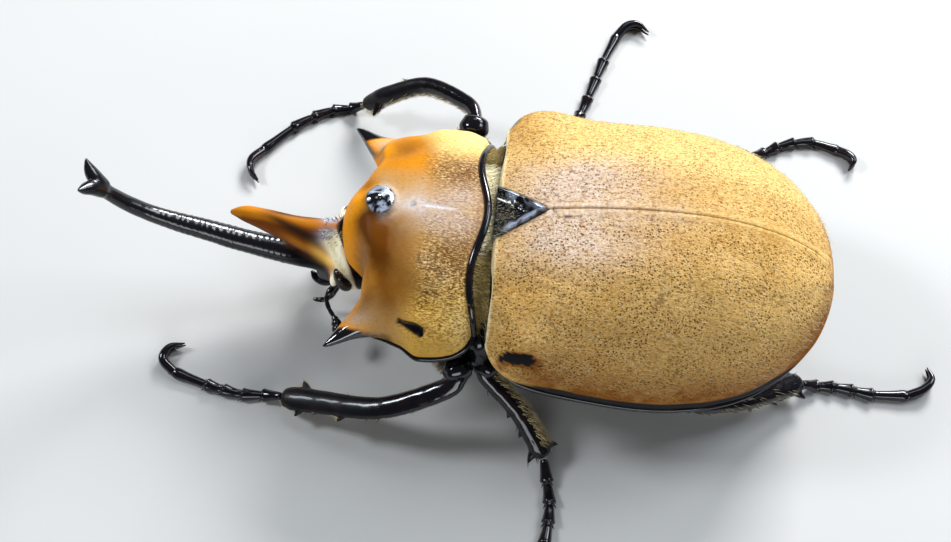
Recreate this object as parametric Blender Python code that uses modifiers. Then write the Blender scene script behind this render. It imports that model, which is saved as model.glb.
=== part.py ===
"""An elephant beetle as a still, life-size museum model, set down on a flat floor.

The head points along -X, the beetle's right side is +Y and +Z is up. Lengths in
this file are millimetres, measured from the middle of the pronotum's rear edge
and from the floor. The meshes are made in metres.
"""

import math
from dataclasses import dataclass

import bmesh
import bpy
import numpy as np
from mathutils import Vector

MM = 0.001
OBJECT_NAME = "elephant_beetle"

# Gap between neighbouring pieces, the wall of the wing covers, and the reach of a merge
GAP = 0.3
ELYTRON_WALL = 0.9
MERGE = 0.02
CORNER_REACH = 1.6
FLOOR_CUTTER_SIZE = 400.0

# Wing covers: from the straight front edge past the shoulders to the apex
ELYTRA_FRONT = 1.0
SHOULDER_START = -0.9
WIDEST_X = 22.0
APEX_X = 58.9
ELYTRA_HALF_WIDTH = 24.6
SHOULDER_POWER = 7.5
APEX_POWER = 2.6
CREST_X = 30.0
CREST_Z = 38.1
FRONT_DROP = 5.9
CREST_POWER = 2.2
EDGE_LOW_X = 34.0
EDGE_LOW_Z = 15.0
EDGE_FRONT_RISE = 9.0
EDGE_REAR_RISE = 4.0
ARCH_POWER = 2.4
APEX_TRIM = 0.06

# Scutellum, the small triangular plate between the wing covers
SCUTELLUM_FRONT = 1.3
SCUTELLUM_TIP = 9.9
SCUTELLUM_HALF_WIDTH = 5.1
SCUTELLUM_BLUNT = 0.5
SCUTELLUM_TAPER = 0.9

# Body under the wing covers, as heights of its underside along the midline
BODY_INSET = ELYTRON_WALL + GAP + 0.15
BODY_FRONT = 0.35
NECK_HALF_WIDTH = 12.5
THORAX_END = 18.2
ABDOMEN_END = 53.0
PYGIDIUM_END = 57.2
BELLY = (
    (0.0, 7.5), (3.0, 4.8), (8.0, 3.7), (20.0, 3.4), (35.0, 3.6), (47.0, 5.6), (54.0, 9.0), (58.5, 14.0),
)
BELLY_POWER = 1.6
BODY_SIDES = 12
STERNITE_COUNT = 6
STERNITE_STEP = 0.3

# Pronotum: half width, edge height and underside along the body
PRONOTUM_NOSE = -24.3
PRONOTUM_TOP = 33.2
PRONOTUM_TOP_X = -17.5
PRONOTUM_REAR_DROP = 1.0
NOSE_Z = 20.0
NOSE_POWER = 2.6
NOSE_BLUNT = 0.02
PRONOTUM_ARCH_POWER = 1.9
PRONOTUM_HALF_WIDTHS = (
    (-24.3, 1.4), (-23.5, 4.2), (-22.0, 6.4), (-20.8, 8.4), (-20.0, 11.0), (-19.3, 14.6), (-18.6, 17.2),
    (-17.4, 18.4), (-15.0, 18.8), (-12.3, 19.6), (-9.1, 21.3), (-6.5, 21.2), (-4.1, 20.8), (-2.0, 19.9),
    (0.0, 17.4),
)
PRONOTUM_EDGES = ((-24.3, 19.4), (-21.0, 19.6), (-18.0, 20.0), (-9.0, 19.6), (-4.0, 20.3), (0.0, 22.4))
PROSTERNUM = (
    (-24.3, 19.0), (-22.5, 17.0), (-21.5, 13.5), (-20.0, 8.5), (-17.0, 5.6), (-9.0, 4.4), (-3.0, 5.2),
    (0.0, 7.5),
)
PROSTERNUM_POWER = 1.3
REAR_LOBE = 1.9
REAR_LOBE_PITCH = 21.0
REAR_LOBE_REACH = 8.0
KNOB_X = -17.4
KNOB_RADIUS = 1.95
KNOB_RISE = 0.7

# Side horn of the pronotum: x, y, z, half width and half height
SIDE_HORN = (
    (-16.5, 14.6, 21.0, 3.6, 3.0), (-19.4, 16.7, 20.7, 2.8, 2.3), (-21.2, 18.1, 20.5, 1.75, 1.5),
    (-23.0, 19.6, 20.3, 1.05, 0.95), (-24.3, 20.6, 20.1, 0.55, 0.55), (-25.0, 21.0, 20.0, 0.2, 0.2),
)

# Head, its horn with the fork, and the tooth on the horn's root
HEAD = (
    (-18.6, 13.6, 5.4, 6.0), (-21.0, 14.4, 6.6, 7.6), (-23.5, 14.6, 6.7, 8.4), (-25.4, 13.8, 5.9, 7.8),
    (-27.0, 12.0, 4.8, 5.8), (-28.4, 9.4, 3.9, 3.2), (-29.6, 7.8, 2.8, 1.4),
)
CEPHALIC_HORN = (
    (-24.0, 13.6, 4.4, 6.0), (-27.2, 12.6, 3.8, 4.6), (-30.4, 11.9, 3.0, 3.3), (-34.0, 11.6, 2.45, 2.5),
    (-38.4, 12.5, 2.2, 2.15), (-43.2, 14.3, 2.05, 1.95), (-48.2, 16.5, 1.9, 1.8), (-52.8, 18.5, 1.7, 1.65),
    (-57.0, 20.7, 1.5, 1.45), (-60.6, 23.6, 1.4, 1.3), (-63.2, 26.6, 1.35, 1.2), (-64.8, 29.0, 1.5, 1.05),
)
HEAD_SIDES = 12
PRONG = ((-64.2, 0.4, 28.2, 1.0), (-65.2, 1.3, 29.9, 0.9), (-66.0, 2.2, 31.1, 0.65), (-66.6, 3.0, 32.5, 0.25))
TOOTH = (
    (-26.0, 16.5, 3.3, 6.4), (-29.5, 18.0, 2.7, 5.2), (-33.5, 20.2, 2.0, 3.6), (-37.5, 22.6, 1.6, 2.6),
    (-40.8, 24.1, 1.2, 1.7), (-43.0, 24.3, 0.45, 0.5),
)

# Parts of the face
EYE_PLACE = (-24.0, 5.9, 15.0)
EYE_RADIUS = 2.6
CANTHUS_PLACE = (-25.6, 5.9, 15.6)
CANTHUS_SIZE = (1.5, 2.0, 0.75)
ANTENNA = (
    (-25.2, 4.4, 10.4, 0.6), (-26.6, 6.4, 9.8, 0.6), (-27.0, 7.6, 9.2, 0.45), (-26.5, 8.9, 8.5, 0.42),
    (-25.6, 10.0, 7.8, 0.42), (-25.1, 10.7, 7.4, 0.8), (-24.7, 11.8, 6.8, 1.0), (-24.4, 12.9, 6.2, 0.85),
    (-24.2, 13.7, 5.8, 0.4),
)
MANDIBLE = (
    (-26.8, 2.6, 7.0, 1.2, 1.0), (-28.6, 2.5, 6.2, 1.1, 0.8), (-30.0, 1.9, 6.0, 0.8, 0.55),
    (-30.8, 1.1, 6.2, 0.3, 0.3),
)
PALP = (
    (-25.4, 3.2, 7.2, 0.45), (-26.4, 4.6, 5.4, 0.45), (-27.6, 5.3, 4.4, 0.42), (-29.0, 5.5, 4.0, 0.5),
    (-30.0, 5.4, 3.9, 0.3),
)

# Legs: sizes shared by all six
FOOT_HEIGHT = 0.8
TARSUS_RADIUS = 1.0
CLAW_RADIUS = 0.55
CLAW_SPLAY = 0.8
CLAW_RISE = 0.45
SPINE_SIDES = 4
SPINE_RADIUS = 0.42
SPINE_REACH = 0.55
TIBIA_TOOTH_RADIUS = 0.95
POINT_RADIUS = 0.14
LIMB_SIDES = 9
END_REACH = 0.55
END_SIZE = 0.62

# Share of a femur's length and its size there, and the same along each joint of a foot
FEMUR_PROFILE = ((0.08, 0.6), (0.3, 0.92), (0.55, 1.0), (0.8, 0.95), (0.93, 0.9), (1.0, 0.8))
FOOT_JOINT_PROFILE = ((0.0, 0.6), (0.45, 0.8), (0.92, 1.0))
LAST_JOINT_SIZE = 0.92
CLAW_TAPER = (0.86, 0.6, 0.22)
CLAW_LIFT = (0.55, 1.0, 0.8)

# Places along the body where the lofts of the body and of the pronotum have their rings
THORAX_RINGS = (BODY_FRONT, 1.2, 2.6, 4.8, 8.0, 12.5, THORAX_END)
PYGIDIUM_RINGS = (ABDOMEN_END + GAP, 54.4, 55.6, 56.5, PYGIDIUM_END)
PRONOTUM_RINGS = (
    PRONOTUM_NOSE, -24.0, -23.3, -22.4, -21.4, -20.5, -19.7, -19.0, -18.0, -16.2, -14.0, -11.6, -9.1, -6.6,
    -4.0, -2.0, -0.8, 0.0,
)
PRONOTUM_SIDES = 13

# Colour and roughness of each finish
FINISHES = {
    "velvet_tan": ((0.42, 0.25, 0.06), 0.6),
    "amber": ((0.46, 0.20, 0.03), 0.42),
    "black_shell": ((0.012, 0.011, 0.012), 0.22),
    "brown_black": ((0.03, 0.018, 0.012), 0.35),
    "eye": ((0.02, 0.012, 0.008), 0.15),
}
SHARP_ANGLE = 38.0


@dataclass
class Leg:
    """One leg: its joints in the pose, how thick it is, and where its tibia has teeth."""

    coxa: tuple
    coxa_size: tuple
    knee: tuple
    shin: tuple
    foot: tuple
    hook: tuple
    femur_size: tuple
    tibia_size: tuple
    teeth: tuple
    body: str


FRONT_TEETH = ((0.6, 1, 2.4), (0.8, 1, 2.4), (0.97, 1, 2.0), (0.86, -1, 2.8))
REAR_TEETH = ((0.45, 1, 1.2), (0.68, 1, 1.5), (0.95, 1, 2.6), (0.95, -1, 3.2))

LEGS = {
    "front_left": Leg(
        coxa=(-9.0, -5.6, 5.6), coxa_size=(3.2, 4.6, 3.4), knee=(-2.4, -21.7, 16.6),
        shin=(
            (-3.0, -23.4, 15.2), (-7.6, -25.3, 12.6), (-15.2, -26.7, 9.2),
            (-24.2, -25.4, 5.6), (-31.8, -24.2, 3.0),
        ),
        foot=(
            (-33.2, -23.9, 1.8), (-36.7, -23.4, 0), (-40.4, -23.6, 0), (-43.8, -23.1, 0),
            (-47.0, -22.4, 0), (-52.9, -20.7, 0),
        ),
        hook=((-55.2, -18.7), (-54.4, -16.4), (-51.9, -15.4)),
        femur_size=(2.7, 2.2), tibia_size=(1.75, 1.5), teeth=FRONT_TEETH, body="prothorax",
    ),
    "front_right": Leg(
        coxa=(-9.0, 5.6, 5.6), coxa_size=(3.2, 4.6, 3.4), knee=(-4.3, 25.6, 17.4),
        shin=(
            (-4.6, 28.3, 16.8), (-8.4, 33.1, 15.4), (-14.0, 35.8, 13.0),
            (-20.2, 36.1, 9.4), (-25.3, 36.2, 4.4),
        ),
        foot=(
            (-26.6, 36.8, 2.0), (-29.4, 36.9, 0), (-32.7, 36.1, 0), (-36.2, 34.2, 0),
            (-39.8, 31.3, 0), (-44.6, 25.9, 0),
        ),
        hook=((-46.3, 23.4), (-46.1, 21.0), (-44.4, 18.9)),
        femur_size=(2.8, 2.4), tibia_size=(1.35, 1.65), teeth=FRONT_TEETH, body="prothorax",
    ),
    "middle_left": Leg(
        coxa=(9.5, -6.4, 4.9), coxa_size=(3.2, 5.2, 2.9), knee=(1.6, -19.6, 14.2),
        shin=((2.2, -20.6, 12.9), (6.2, -23.0, 9.9), (9.9, -26.2, 6.4), (12.8, -29.5, 3.0)),
        foot=(
            (13.3, -30.9, 1.8), (14.2, -34.2, 0), (14.9, -37.9, 0), (14.9, -41.4, 0),
            (14.5, -45.2, 0), (13.3, -52.0, 0),
        ),
        hook=((12.4, -54.8), (10.6, -56.4), (8.2, -56.2)),
        femur_size=(2.5, 1.9), tibia_size=(1.65, 1.35), teeth=REAR_TEETH, body="thorax",
    ),
    "middle_right": Leg(
        coxa=(9.5, 6.4, 4.9), coxa_size=(3.2, 5.2, 2.9), knee=(4.0, 21.4, 13.2),
        shin=((4.3, 22.8, 12.2), (6.8, 26.6, 9.4), (9.7, 31.0, 6.4), (12.8, 35.6, 3.0)),
        foot=(
            (13.6, 36.9, 1.8), (15.0, 40.4, 0), (16.2, 44.3, 0), (17.5, 48.9, 0),
            (18.8, 53.4, 0), (21.0, 59.4, 0),
        ),
        hook=((22.8, 61.6), (25.0, 62.0), (27.2, 60.4)),
        femur_size=(2.5, 1.9), tibia_size=(1.5, 1.35), teeth=REAR_TEETH, body="thorax",
    ),
    "hind_left": Leg(
        coxa=(23.5, -7.4, 4.9), coxa_size=(3.4, 6.2, 2.9), knee=(37.2, -20.6, 10.8),
        shin=((38.8, -20.9, 10.2), (44.2, -19.4, 8.6), (50.6, -16.0, 5.8), (56.2, -12.3, 3.0)),
        foot=(
            (57.5, -12.2, 1.8), (60.4, -11.6, 0), (63.4, -11.5, 0), (66.8, -11.8, 0),
            (70.4, -12.2, 0), (76.4, -11.8, 0),
        ),
        hook=((79.0, -10.6), (80.5, -8.6), (79.8, -6.4)),
        femur_size=(2.8, 2.0), tibia_size=(1.8, 1.45), teeth=REAR_TEETH, body="thorax",
    ),
    "hind_right": Leg(
        coxa=(23.5, 7.4, 4.9), coxa_size=(3.4, 6.2, 2.9), knee=(32.4, 23.0, 11.2),
        shin=((33.4, 24.2, 10.6), (37.8, 27.2, 8.2), (42.2, 30.0, 5.6), (46.6, 32.6, 3.0)),
        foot=(
            (47.8, 33.3, 1.8), (50.6, 35.4, 0), (53.2, 37.0, 0), (56.4, 38.2, 0),
            (60.0, 38.6, 0), (64.7, 37.4, 0),
        ),
        hook=((66.6, 36.2), (67.4, 34.8), (66.6, 33.2)),
        femur_size=(2.8, 2.0), tibia_size=(1.8, 1.45), teeth=REAR_TEETH, body="thorax",
    ),
}


def clear_scene():
    """Remove every object that the scene holds."""
    for thing in list(bpy.data.objects):
        bpy.data.objects.remove(thing, do_unlink=True)


def make_collection(name):
    """Make a collection in the scene."""
    collection = bpy.data.collections.new(name)
    bpy.context.scene.collection.children.link(collection)
    return collection


def make_material(name, colour, roughness, metallic=0.0):
    """Make one material with a Principled BSDF."""
    material = bpy.data.materials.new(name)
    material.use_nodes = True
    shader = material.node_tree.nodes["Principled BSDF"]
    shader.inputs["Base Color"].default_value = (*colour, 1.0)
    shader.inputs["Roughness"].default_value = roughness
    shader.inputs["Metallic"].default_value = metallic
    return material


def add_piece(name, shape, finish):
    """Turn a bmesh into a named object with its own material, and file it with the parts."""
    bmesh.ops.remove_doubles(shape, verts=shape.verts, dist=0.0001 * MM)
    bmesh.ops.recalc_face_normals(shape, faces=shape.faces)
    mesh = bpy.data.meshes.new(name)
    shape.to_mesh(mesh)
    shape.free()
    piece = bpy.data.objects.new(name, mesh)
    colour, roughness = FINISHES[finish]
    mesh.materials.append(make_material(name + "_finish", colour, roughness))
    bpy.data.collections[OBJECT_NAME].objects.link(piece)
    return piece


def shade_round(piece):
    """Shade a piece smooth but for its real edges."""
    piece.data.shade_smooth()
    piece.data.set_sharp_from_angle(angle=math.radians(SHARP_ANGLE))


def read_curve(points, at):
    """Read a height or width from (place, value) points along the body, without overshoot."""
    places = [place for place, _ in points]
    values = [value for _, value in points]
    slopes = tangents(np.array(places), np.array(values))
    at = min(max(at, places[0]), places[-1])
    index = min(max(int(np.searchsorted(places, at, side="right")) - 1, 0), len(places) - 2)
    step = places[index + 1] - places[index]
    t = (at - places[index]) / step
    rise = values[index + 1] - values[index]
    bend_in = slopes[index] * step
    bend_out = slopes[index + 1] * step
    square = t * t * (3 * rise - 2 * bend_in - bend_out)
    return values[index] + t * bend_in + square + t**3 * (bend_in + bend_out - 2 * rise)


def tangents(places, values):
    """Give monotone slopes at each point of a curve."""
    spans = np.diff(places)
    rises = np.diff(values) / spans
    slopes = np.zeros(len(places))
    slopes[0] = rises[0]
    slopes[-1] = rises[-1]
    for index in range(1, len(places) - 1):
        before, after = rises[index - 1], rises[index]
        if before * after > 0:
            slopes[index] = 2 * before * after / (before + after)
    return slopes


def glide(points, at):
    """Give a place on a smooth curve through points, where at counts points from the first."""
    rows = np.array(points, dtype=float)
    last = len(rows) - 1
    index = min(int(at), last - 1)
    t = at - index
    before = rows[index - 1] if index > 0 else 2 * rows[0] - rows[1]
    after = rows[index + 2] if index + 2 <= last else 2 * rows[last] - rows[last - 1]
    start, end = rows[index], rows[index + 1]
    return 0.5 * (2 * start + (end - before) * t + (2 * before - 5 * start + 4 * end - after) * t * t
                  + (3 * start - before - 3 * end + after) * t**3)


def glide_rows(points, steps):
    """Read a smooth curve through points at even steps between them."""
    count = (len(points) - 1) * steps
    return [glide(points, index / steps) for index in range(count + 1)]


def superellipse(angle, power):
    """Give the two unit coordinates of a superellipse at an angle."""
    across, up = math.cos(angle), math.sin(angle)
    return (math.copysign(abs(across)**(2 / power), across), math.copysign(abs(up)**(2 / power), up))


def loft(rings):
    """Close a row of rings of like count into one skin, with a fan at each end."""
    shape = bmesh.new()
    rows = [[shape.verts.new(Vector(point) * MM) for point in ring] for ring in rings]
    count = len(rows[0])
    for near, far in zip(rows, rows[1:]):
        for index in range(count):
            following = (index + 1) % count
            shape.faces.new((near[index], near[following], far[following], far[index]))
    for row in (rows[0], rows[-1]):
        middle = sum((vertex.co for vertex in row), Vector()) / count
        hub = shape.verts.new(middle)
        for index in range(count):
            shape.faces.new((row[index], row[(index + 1) % count], hub))
    bmesh.ops.triangulate(shape, faces=shape.faces)
    return shape


def round_end(end, inner):
    """Give the small ring beyond a limb's end that rounds it off."""
    heading = (end[:3] - inner[:3]) / np.linalg.norm(end[:3] - inner[:3])
    return np.array([*(end[:3] + heading * end[3:].min() * END_REACH), *(end[3:] * END_SIZE)])


def limb_rings(stations, sides=LIMB_SIDES):
    """Ring each station (x, y, z, half width, half height) square to the path, with round ends."""
    stations = [np.array(station, dtype=float) for station in stations]
    rounded = [round_end(stations[0], stations[1]), *stations, round_end(stations[-1], stations[-2])]
    rings = []
    for index, station in enumerate(rounded):
        before = rounded[max(index - 1, 0)][:3]
        after = rounded[min(index + 1, len(rounded) - 1)][:3]
        heading = Vector(after - before).normalized()
        side = Vector((0, 0, 1)).cross(heading).normalized()
        above = heading.cross(side)
        centre = Vector(station[:3])
        ring = []
        for step in range(sides):
            turn = 2 * math.pi * step / sides
            ring.append(centre + side * station[3] * math.cos(turn) + above * station[4] * math.sin(turn))
        rings.append(ring)
    return rings


def make_limb(stations, steps=3, sides=LIMB_SIDES):
    """Loft a limb through a smooth path of stations."""
    return loft(limb_rings(glide_rows(stations, steps), sides))


def make_cord(name, points, finish):
    """Make a thin round feeler as a curve of changing radius, then as a mesh."""
    data = bpy.data.curves.new(name, "CURVE")
    data.dimensions = "3D"
    data.bevel_depth = MM
    data.bevel_resolution = 2
    data.use_fill_caps = True
    spline = data.splines.new("POLY")
    rows = glide_rows(points, 2)
    spline.points.add(len(rows) - 1)
    for target, row in zip(spline.points, rows):
        target.co = (*(row[:3] * MM), 1.0)
        target.radius = row[3]
    curve = bpy.data.objects.new(name + "_curve", data)
    bpy.context.scene.collection.objects.link(curve)
    bpy.context.view_layer.update()
    mesh = bpy.data.meshes.new_from_object(curve.evaluated_get(bpy.context.evaluated_depsgraph_get()))
    shape = bmesh.new()
    shape.from_mesh(mesh)
    bpy.data.objects.remove(curve, do_unlink=True)
    return add_piece(name, shape, finish)


def make_ball(name, place, radii, finish, segments=12, rings=8):
    """Make an ellipsoid at a place."""
    shape = bmesh.new()
    bmesh.ops.create_uvsphere(shape, u_segments=segments, v_segments=rings, radius=MM)
    bmesh.ops.scale(shape, vec=radii, verts=shape.verts)
    bmesh.ops.translate(shape, vec=Vector(place) * MM, verts=shape.verts)
    return add_piece(name, shape, finish)


def make_spike(name, root, tip, radius, finish):
    """Make a pointed spine from a sunk root to its tip."""
    root, tip = Vector(root) * MM, Vector(tip) * MM
    shape = bmesh.new()
    length = (tip - root).length
    bmesh.ops.create_cone(
        shape, cap_ends=True, segments=SPINE_SIDES,
        radius1=radius * MM, radius2=POINT_RADIUS * MM, depth=length,
    )
    turn = Vector((0, 0, 1)).rotation_difference(tip - root).to_matrix().to_4x4()
    bmesh.ops.transform(shape, matrix=turn, verts=shape.verts)
    bmesh.ops.translate(shape, vec=(root + tip) / 2, verts=shape.verts)
    return add_piece(name, shape, finish)


def apply_boolean(piece, modifier):
    """Apply a Boolean to a piece, with the second solver where the first leaves it open."""
    material = piece.data.materials[0]
    for solver in ("EXACT", "MANIFOLD"):
        modifier.solver = solver
        bpy.context.view_layer.update()
        mesh = bpy.data.meshes.new_from_object(piece.evaluated_get(bpy.context.evaluated_depsgraph_get()))
        keep_largest(mesh)
        if is_closed(mesh):
            break
    piece.modifiers.clear()
    piece.data = mesh
    mesh.materials.clear()
    mesh.materials.append(material)


def is_closed(mesh):
    """Say whether a mesh is one closed surface with faces."""
    shape = bmesh.new()
    shape.from_mesh(mesh)
    closed = bool(shape.faces) and all(edge.is_manifold for edge in shape.edges)
    shape.free()
    return closed


def keep_largest(mesh):
    """Keep only the largest closed surface of a mesh, without its needle-thin faces."""
    shape = bmesh.new()
    shape.from_mesh(mesh)
    left = set(shape.faces)
    surfaces = []
    while left:
        pending = [left.pop()]
        surface = list(pending)
        while pending:
            for edge in pending.pop().edges:
                for face in edge.link_faces:
                    if face in left:
                        left.remove(face)
                        pending.append(face)
                        surface.append(face)
        surfaces.append(surface)
    surfaces.sort(key=lambda surface: -sum(face.calc_area() for face in surface))
    scraps = [face for surface in surfaces[1:] for face in surface]
    bmesh.ops.delete(shape, geom=scraps, context="FACES")
    bmesh.ops.remove_doubles(shape, verts=shape.verts, dist=MERGE * MM)
    bmesh.ops.dissolve_degenerate(shape, edges=shape.edges, dist=MERGE * MM)
    bmesh.ops.triangulate(shape, faces=shape.faces)
    shape.to_mesh(mesh)
    shape.free()


def grown_cutter(source, distance):
    """Copy a piece with all its faces moved outwards, as a cutter for its neighbours."""
    shape = bmesh.new()
    shape.from_mesh(source.data)
    shape.normal_update()
    reaches = [min(vertex.calc_shell_factor(), CORNER_REACH) for vertex in shape.verts]
    for vertex, reach in zip(shape.verts, reaches):
        vertex.co += vertex.normal * distance * reach * MM
    mesh = bpy.data.meshes.new(source.name + "_cutter")
    shape.to_mesh(mesh)
    shape.free()
    return add_cutter(mesh)


def add_cutter(mesh):
    """File a mesh as a cutter that is hidden in renders."""
    cutter = bpy.data.objects.new(mesh.name, mesh)
    cutter.display_type = "WIRE"
    cutter.hide_render = True
    bpy.data.collections["cutters"].objects.link(cutter)
    return cutter


def cut_clear(piece, *neighbours):
    """Cut a piece clear of its neighbours, so that they meet face to face with the gap."""
    for neighbour in neighbours:
        cutter = grown_cutter(neighbour, GAP)
        subtract(piece, cutter)


def subtract(piece, cutter):
    """Cut a cutter out of a piece and remove the cutter."""
    cut = piece.modifiers.new("cut", "BOOLEAN")
    cut.operation = "DIFFERENCE"
    cut.object = cutter
    apply_boolean(piece, cut)
    bpy.data.objects.remove(cutter, do_unlink=True)


def cut_at_floor(piece):
    """Cut a foot flat at the floor."""
    shape = bmesh.new()
    bmesh.ops.create_cube(shape, size=FLOOR_CUTTER_SIZE * MM)
    bmesh.ops.translate(shape, vec=(0, 0, -FLOOR_CUTTER_SIZE / 2 * MM), verts=shape.verts)
    mesh = bpy.data.meshes.new("floor_cutter")
    shape.to_mesh(mesh)
    shape.free()
    subtract(piece, add_cutter(mesh))


def fuse(piece, extras):
    """Join extra closed pieces to a piece by one union, and remove them."""
    group = make_collection(piece.name + "_extras")
    for extra in extras:
        bpy.data.collections[OBJECT_NAME].objects.unlink(extra)
        group.objects.link(extra)
    union = piece.modifiers.new("union", "BOOLEAN")
    union.operation = "UNION"
    union.operand_type = "COLLECTION"
    union.collection = group
    apply_boolean(piece, union)
    for extra in extras:
        bpy.data.objects.remove(extra, do_unlink=True)
    bpy.data.collections.remove(group)


def mirrored(points, side):
    """Give points on the beetle's right (side 1) or, mirrored, on its left (side -1)."""
    return [(point[0], point[1] * side, *point[2:]) for point in points]


def elytra_half_width(x):
    """Half width over both wing covers at their lower edge."""
    if x < WIDEST_X:
        reach = (WIDEST_X - x) / (WIDEST_X - SHOULDER_START)
        return ELYTRA_HALF_WIDTH * math.sqrt(max(0.0, 1 - reach**SHOULDER_POWER))
    reach = (x - WIDEST_X) / (APEX_X - WIDEST_X)
    return ELYTRA_HALF_WIDTH * math.sqrt(max(0.0, 1 - reach**APEX_POWER))


def elytra_edge(x):
    """Height of the wing covers' lower edge."""
    if x < EDGE_LOW_X:
        return EDGE_LOW_Z + EDGE_FRONT_RISE * ((EDGE_LOW_X - x) / EDGE_LOW_X)**2
    return EDGE_LOW_Z + EDGE_REAR_RISE * ((x - EDGE_LOW_X) / (APEX_X - EDGE_LOW_X))**4


def elytra_top(x):
    """Height of the wing covers along their seam."""
    if x < CREST_X:
        return CREST_Z - FRONT_DROP * ((CREST_X - x) / CREST_X)**2
    reach = (x - CREST_X) / (APEX_X - CREST_X)
    base = elytra_edge(x)
    return base + (CREST_Z - base) * max(0.0, 1 - reach**CREST_POWER)**0.5


def arch_height(x, y):
    """Height of the wing covers' outer face at a place."""
    across = min(abs(y) / elytra_half_width(x), 1.0)
    edge = elytra_edge(x)
    return edge + (elytra_top(x) - edge) * (1 - across**ARCH_POWER)**(1 / ARCH_POWER)


def scutellum_half_width(x):
    """Half width of the scutellum, which tapers to its tip."""
    share = max(0.0, (SCUTELLUM_TIP - x) / (SCUTELLUM_TIP - SCUTELLUM_FRONT))
    return SCUTELLUM_HALF_WIDTH * share**SCUTELLUM_TAPER


def seam_offset(x):
    """Distance of a wing cover's inner edge from the midline, past the scutellum and along the seam."""
    return max(GAP / 2, scutellum_half_width(x) + GAP if x < SCUTELLUM_TIP + GAP else 0.0)


def add_shell(name, grid, finish):
    """Turn a grid of points on an outer face into a sheet with a wall under it."""
    shape = bmesh.new()
    rows = [[shape.verts.new(Vector(point) * MM) for point in line] for line in grid]
    for near, far in zip(rows, rows[1:]):
        for column in range(len(near) - 1):
            shape.faces.new((near[column], far[column], far[column + 1], near[column + 1]))
    bmesh.ops.triangulate(shape, faces=shape.faces)
    shape.normal_update()
    if sum(face.normal.z for face in shape.faces) < 0:
        bmesh.ops.reverse_faces(shape, faces=shape.faces)
    piece = add_piece(name, shape, finish)
    wall = piece.modifiers.new("wall", "SOLIDIFY")
    wall.thickness = ELYTRON_WALL * MM
    wall.offset = -1.0
    wall.use_even_offset = True
    return piece


def make_elytron(name, side):
    """Make one wing cover as an arched sheet, with its rows closer together at both ends."""
    rows = 19
    columns = 10
    last = APEX_X - APEX_TRIM
    grid = []
    for row in range(rows + 1):
        x = ELYTRA_FRONT + (last - ELYTRA_FRONT) * (1 - math.cos(math.pi * row / rows)) / 2
        half_width, edge, top = elytra_half_width(x), elytra_edge(x), elytra_top(x)
        start = math.asin(min((seam_offset(x) / half_width)**(ARCH_POWER / 2), 1.0))
        line = []
        for column in range(columns + 1):
            angle = start + (math.pi / 2 - start) * column / columns
            up, across = superellipse(angle, ARCH_POWER)
            line.append((x, side * half_width * across, edge + (top - edge) * up))
        grid.append(line)
    return add_shell(name, grid, "velvet_tan")


def make_scutellum():
    """Make the triangular plate that lies level with the wing covers in front of their seam."""
    rows = 6
    columns = 4
    last = SCUTELLUM_TIP - SCUTELLUM_BLUNT
    grid = []
    for row in range(rows + 1):
        x = SCUTELLUM_FRONT + (last - SCUTELLUM_FRONT) * row / rows
        places = [scutellum_half_width(x) * (2 * column / columns - 1) for column in range(columns + 1)]
        grid.append([(x, y, arch_height(x, y)) for y in places])
    return add_shell("scutellum", grid, "black_shell")


def body_ring(x):
    """Ring of the body under the wing covers at one place along it."""
    half = BODY_SIDES
    end = APEX_X if x > WIDEST_X else SHOULDER_START
    shrink = 1 - BODY_INSET / abs(end - WIDEST_X)
    stretched = WIDEST_X + (x - WIDEST_X) / shrink
    half_width = max(elytra_half_width(stretched) - BODY_INSET, NECK_HALF_WIDTH if x < WIDEST_X else 0.0)
    edge = elytra_edge(x)
    top = elytra_top(stretched) - BODY_INSET
    step = STERNITE_STEP * sternite_share(x)
    belly = read_curve(BELLY, x) + step
    ring = []
    for index in range(half + 1):
        across, up = superellipse(math.pi * index / half, ARCH_POWER)
        ring.append((x, half_width * across, edge + (top - edge) * up))
    for index in range(1, half):
        across, down = superellipse(math.pi * index / half, BELLY_POWER)
        ring.append((x, -(half_width - step) * across, edge - (edge - belly) * down))
    return ring


def sternite_share(x):
    """How far along its plate a place on the abdomen's underside is, from 0 to 1."""
    if not THORAX_END < x <= ABDOMEN_END:
        return 0.0
    plate = (ABDOMEN_END - THORAX_END) / STERNITE_COUNT
    return ((x - THORAX_END) % plate) / plate


def make_trunk():
    """Make the body under the wing covers: thorax, ringed abdomen and pygidium."""
    thorax = add_piece("thorax", loft([body_ring(x) for x in THORAX_RINGS]), "brown_black")
    plate = (ABDOMEN_END - THORAX_END) / STERNITE_COUNT
    places = []
    for index in range(STERNITE_COUNT):
        start = THORAX_END + plate * index
        places.extend((start + GAP, start + plate - GAP / 6))
    abdomen = add_piece("abdomen", loft([body_ring(x) for x in places]), "brown_black")
    add_piece("pygidium", loft([body_ring(x) for x in PYGIDIUM_RINGS]), "brown_black")
    return thorax, abdomen


def pronotum_top(x):
    """Height of the pronotum's midline, with its steep front."""
    if x > PRONOTUM_TOP_X:
        return PRONOTUM_TOP - PRONOTUM_REAR_DROP * ((x - PRONOTUM_TOP_X) / -PRONOTUM_TOP_X)**2
    reach = (PRONOTUM_TOP_X - x) / (PRONOTUM_TOP_X - PRONOTUM_NOSE)
    return NOSE_Z + (PRONOTUM_TOP - NOSE_Z) * max(NOSE_BLUNT, 1 - reach**NOSE_POWER)**(1 / CREST_POWER)


def rear_lobe(x, y):
    """Shift of the pronotum's rear edge, which is drawn in beside its middle lobe."""
    near_rear = max(0.0, 1 + x / REAR_LOBE_REACH)
    return -REAR_LOBE / 2 * (1 - math.cos(2 * math.pi * abs(y) / REAR_LOBE_PITCH)) * near_rear


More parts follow.
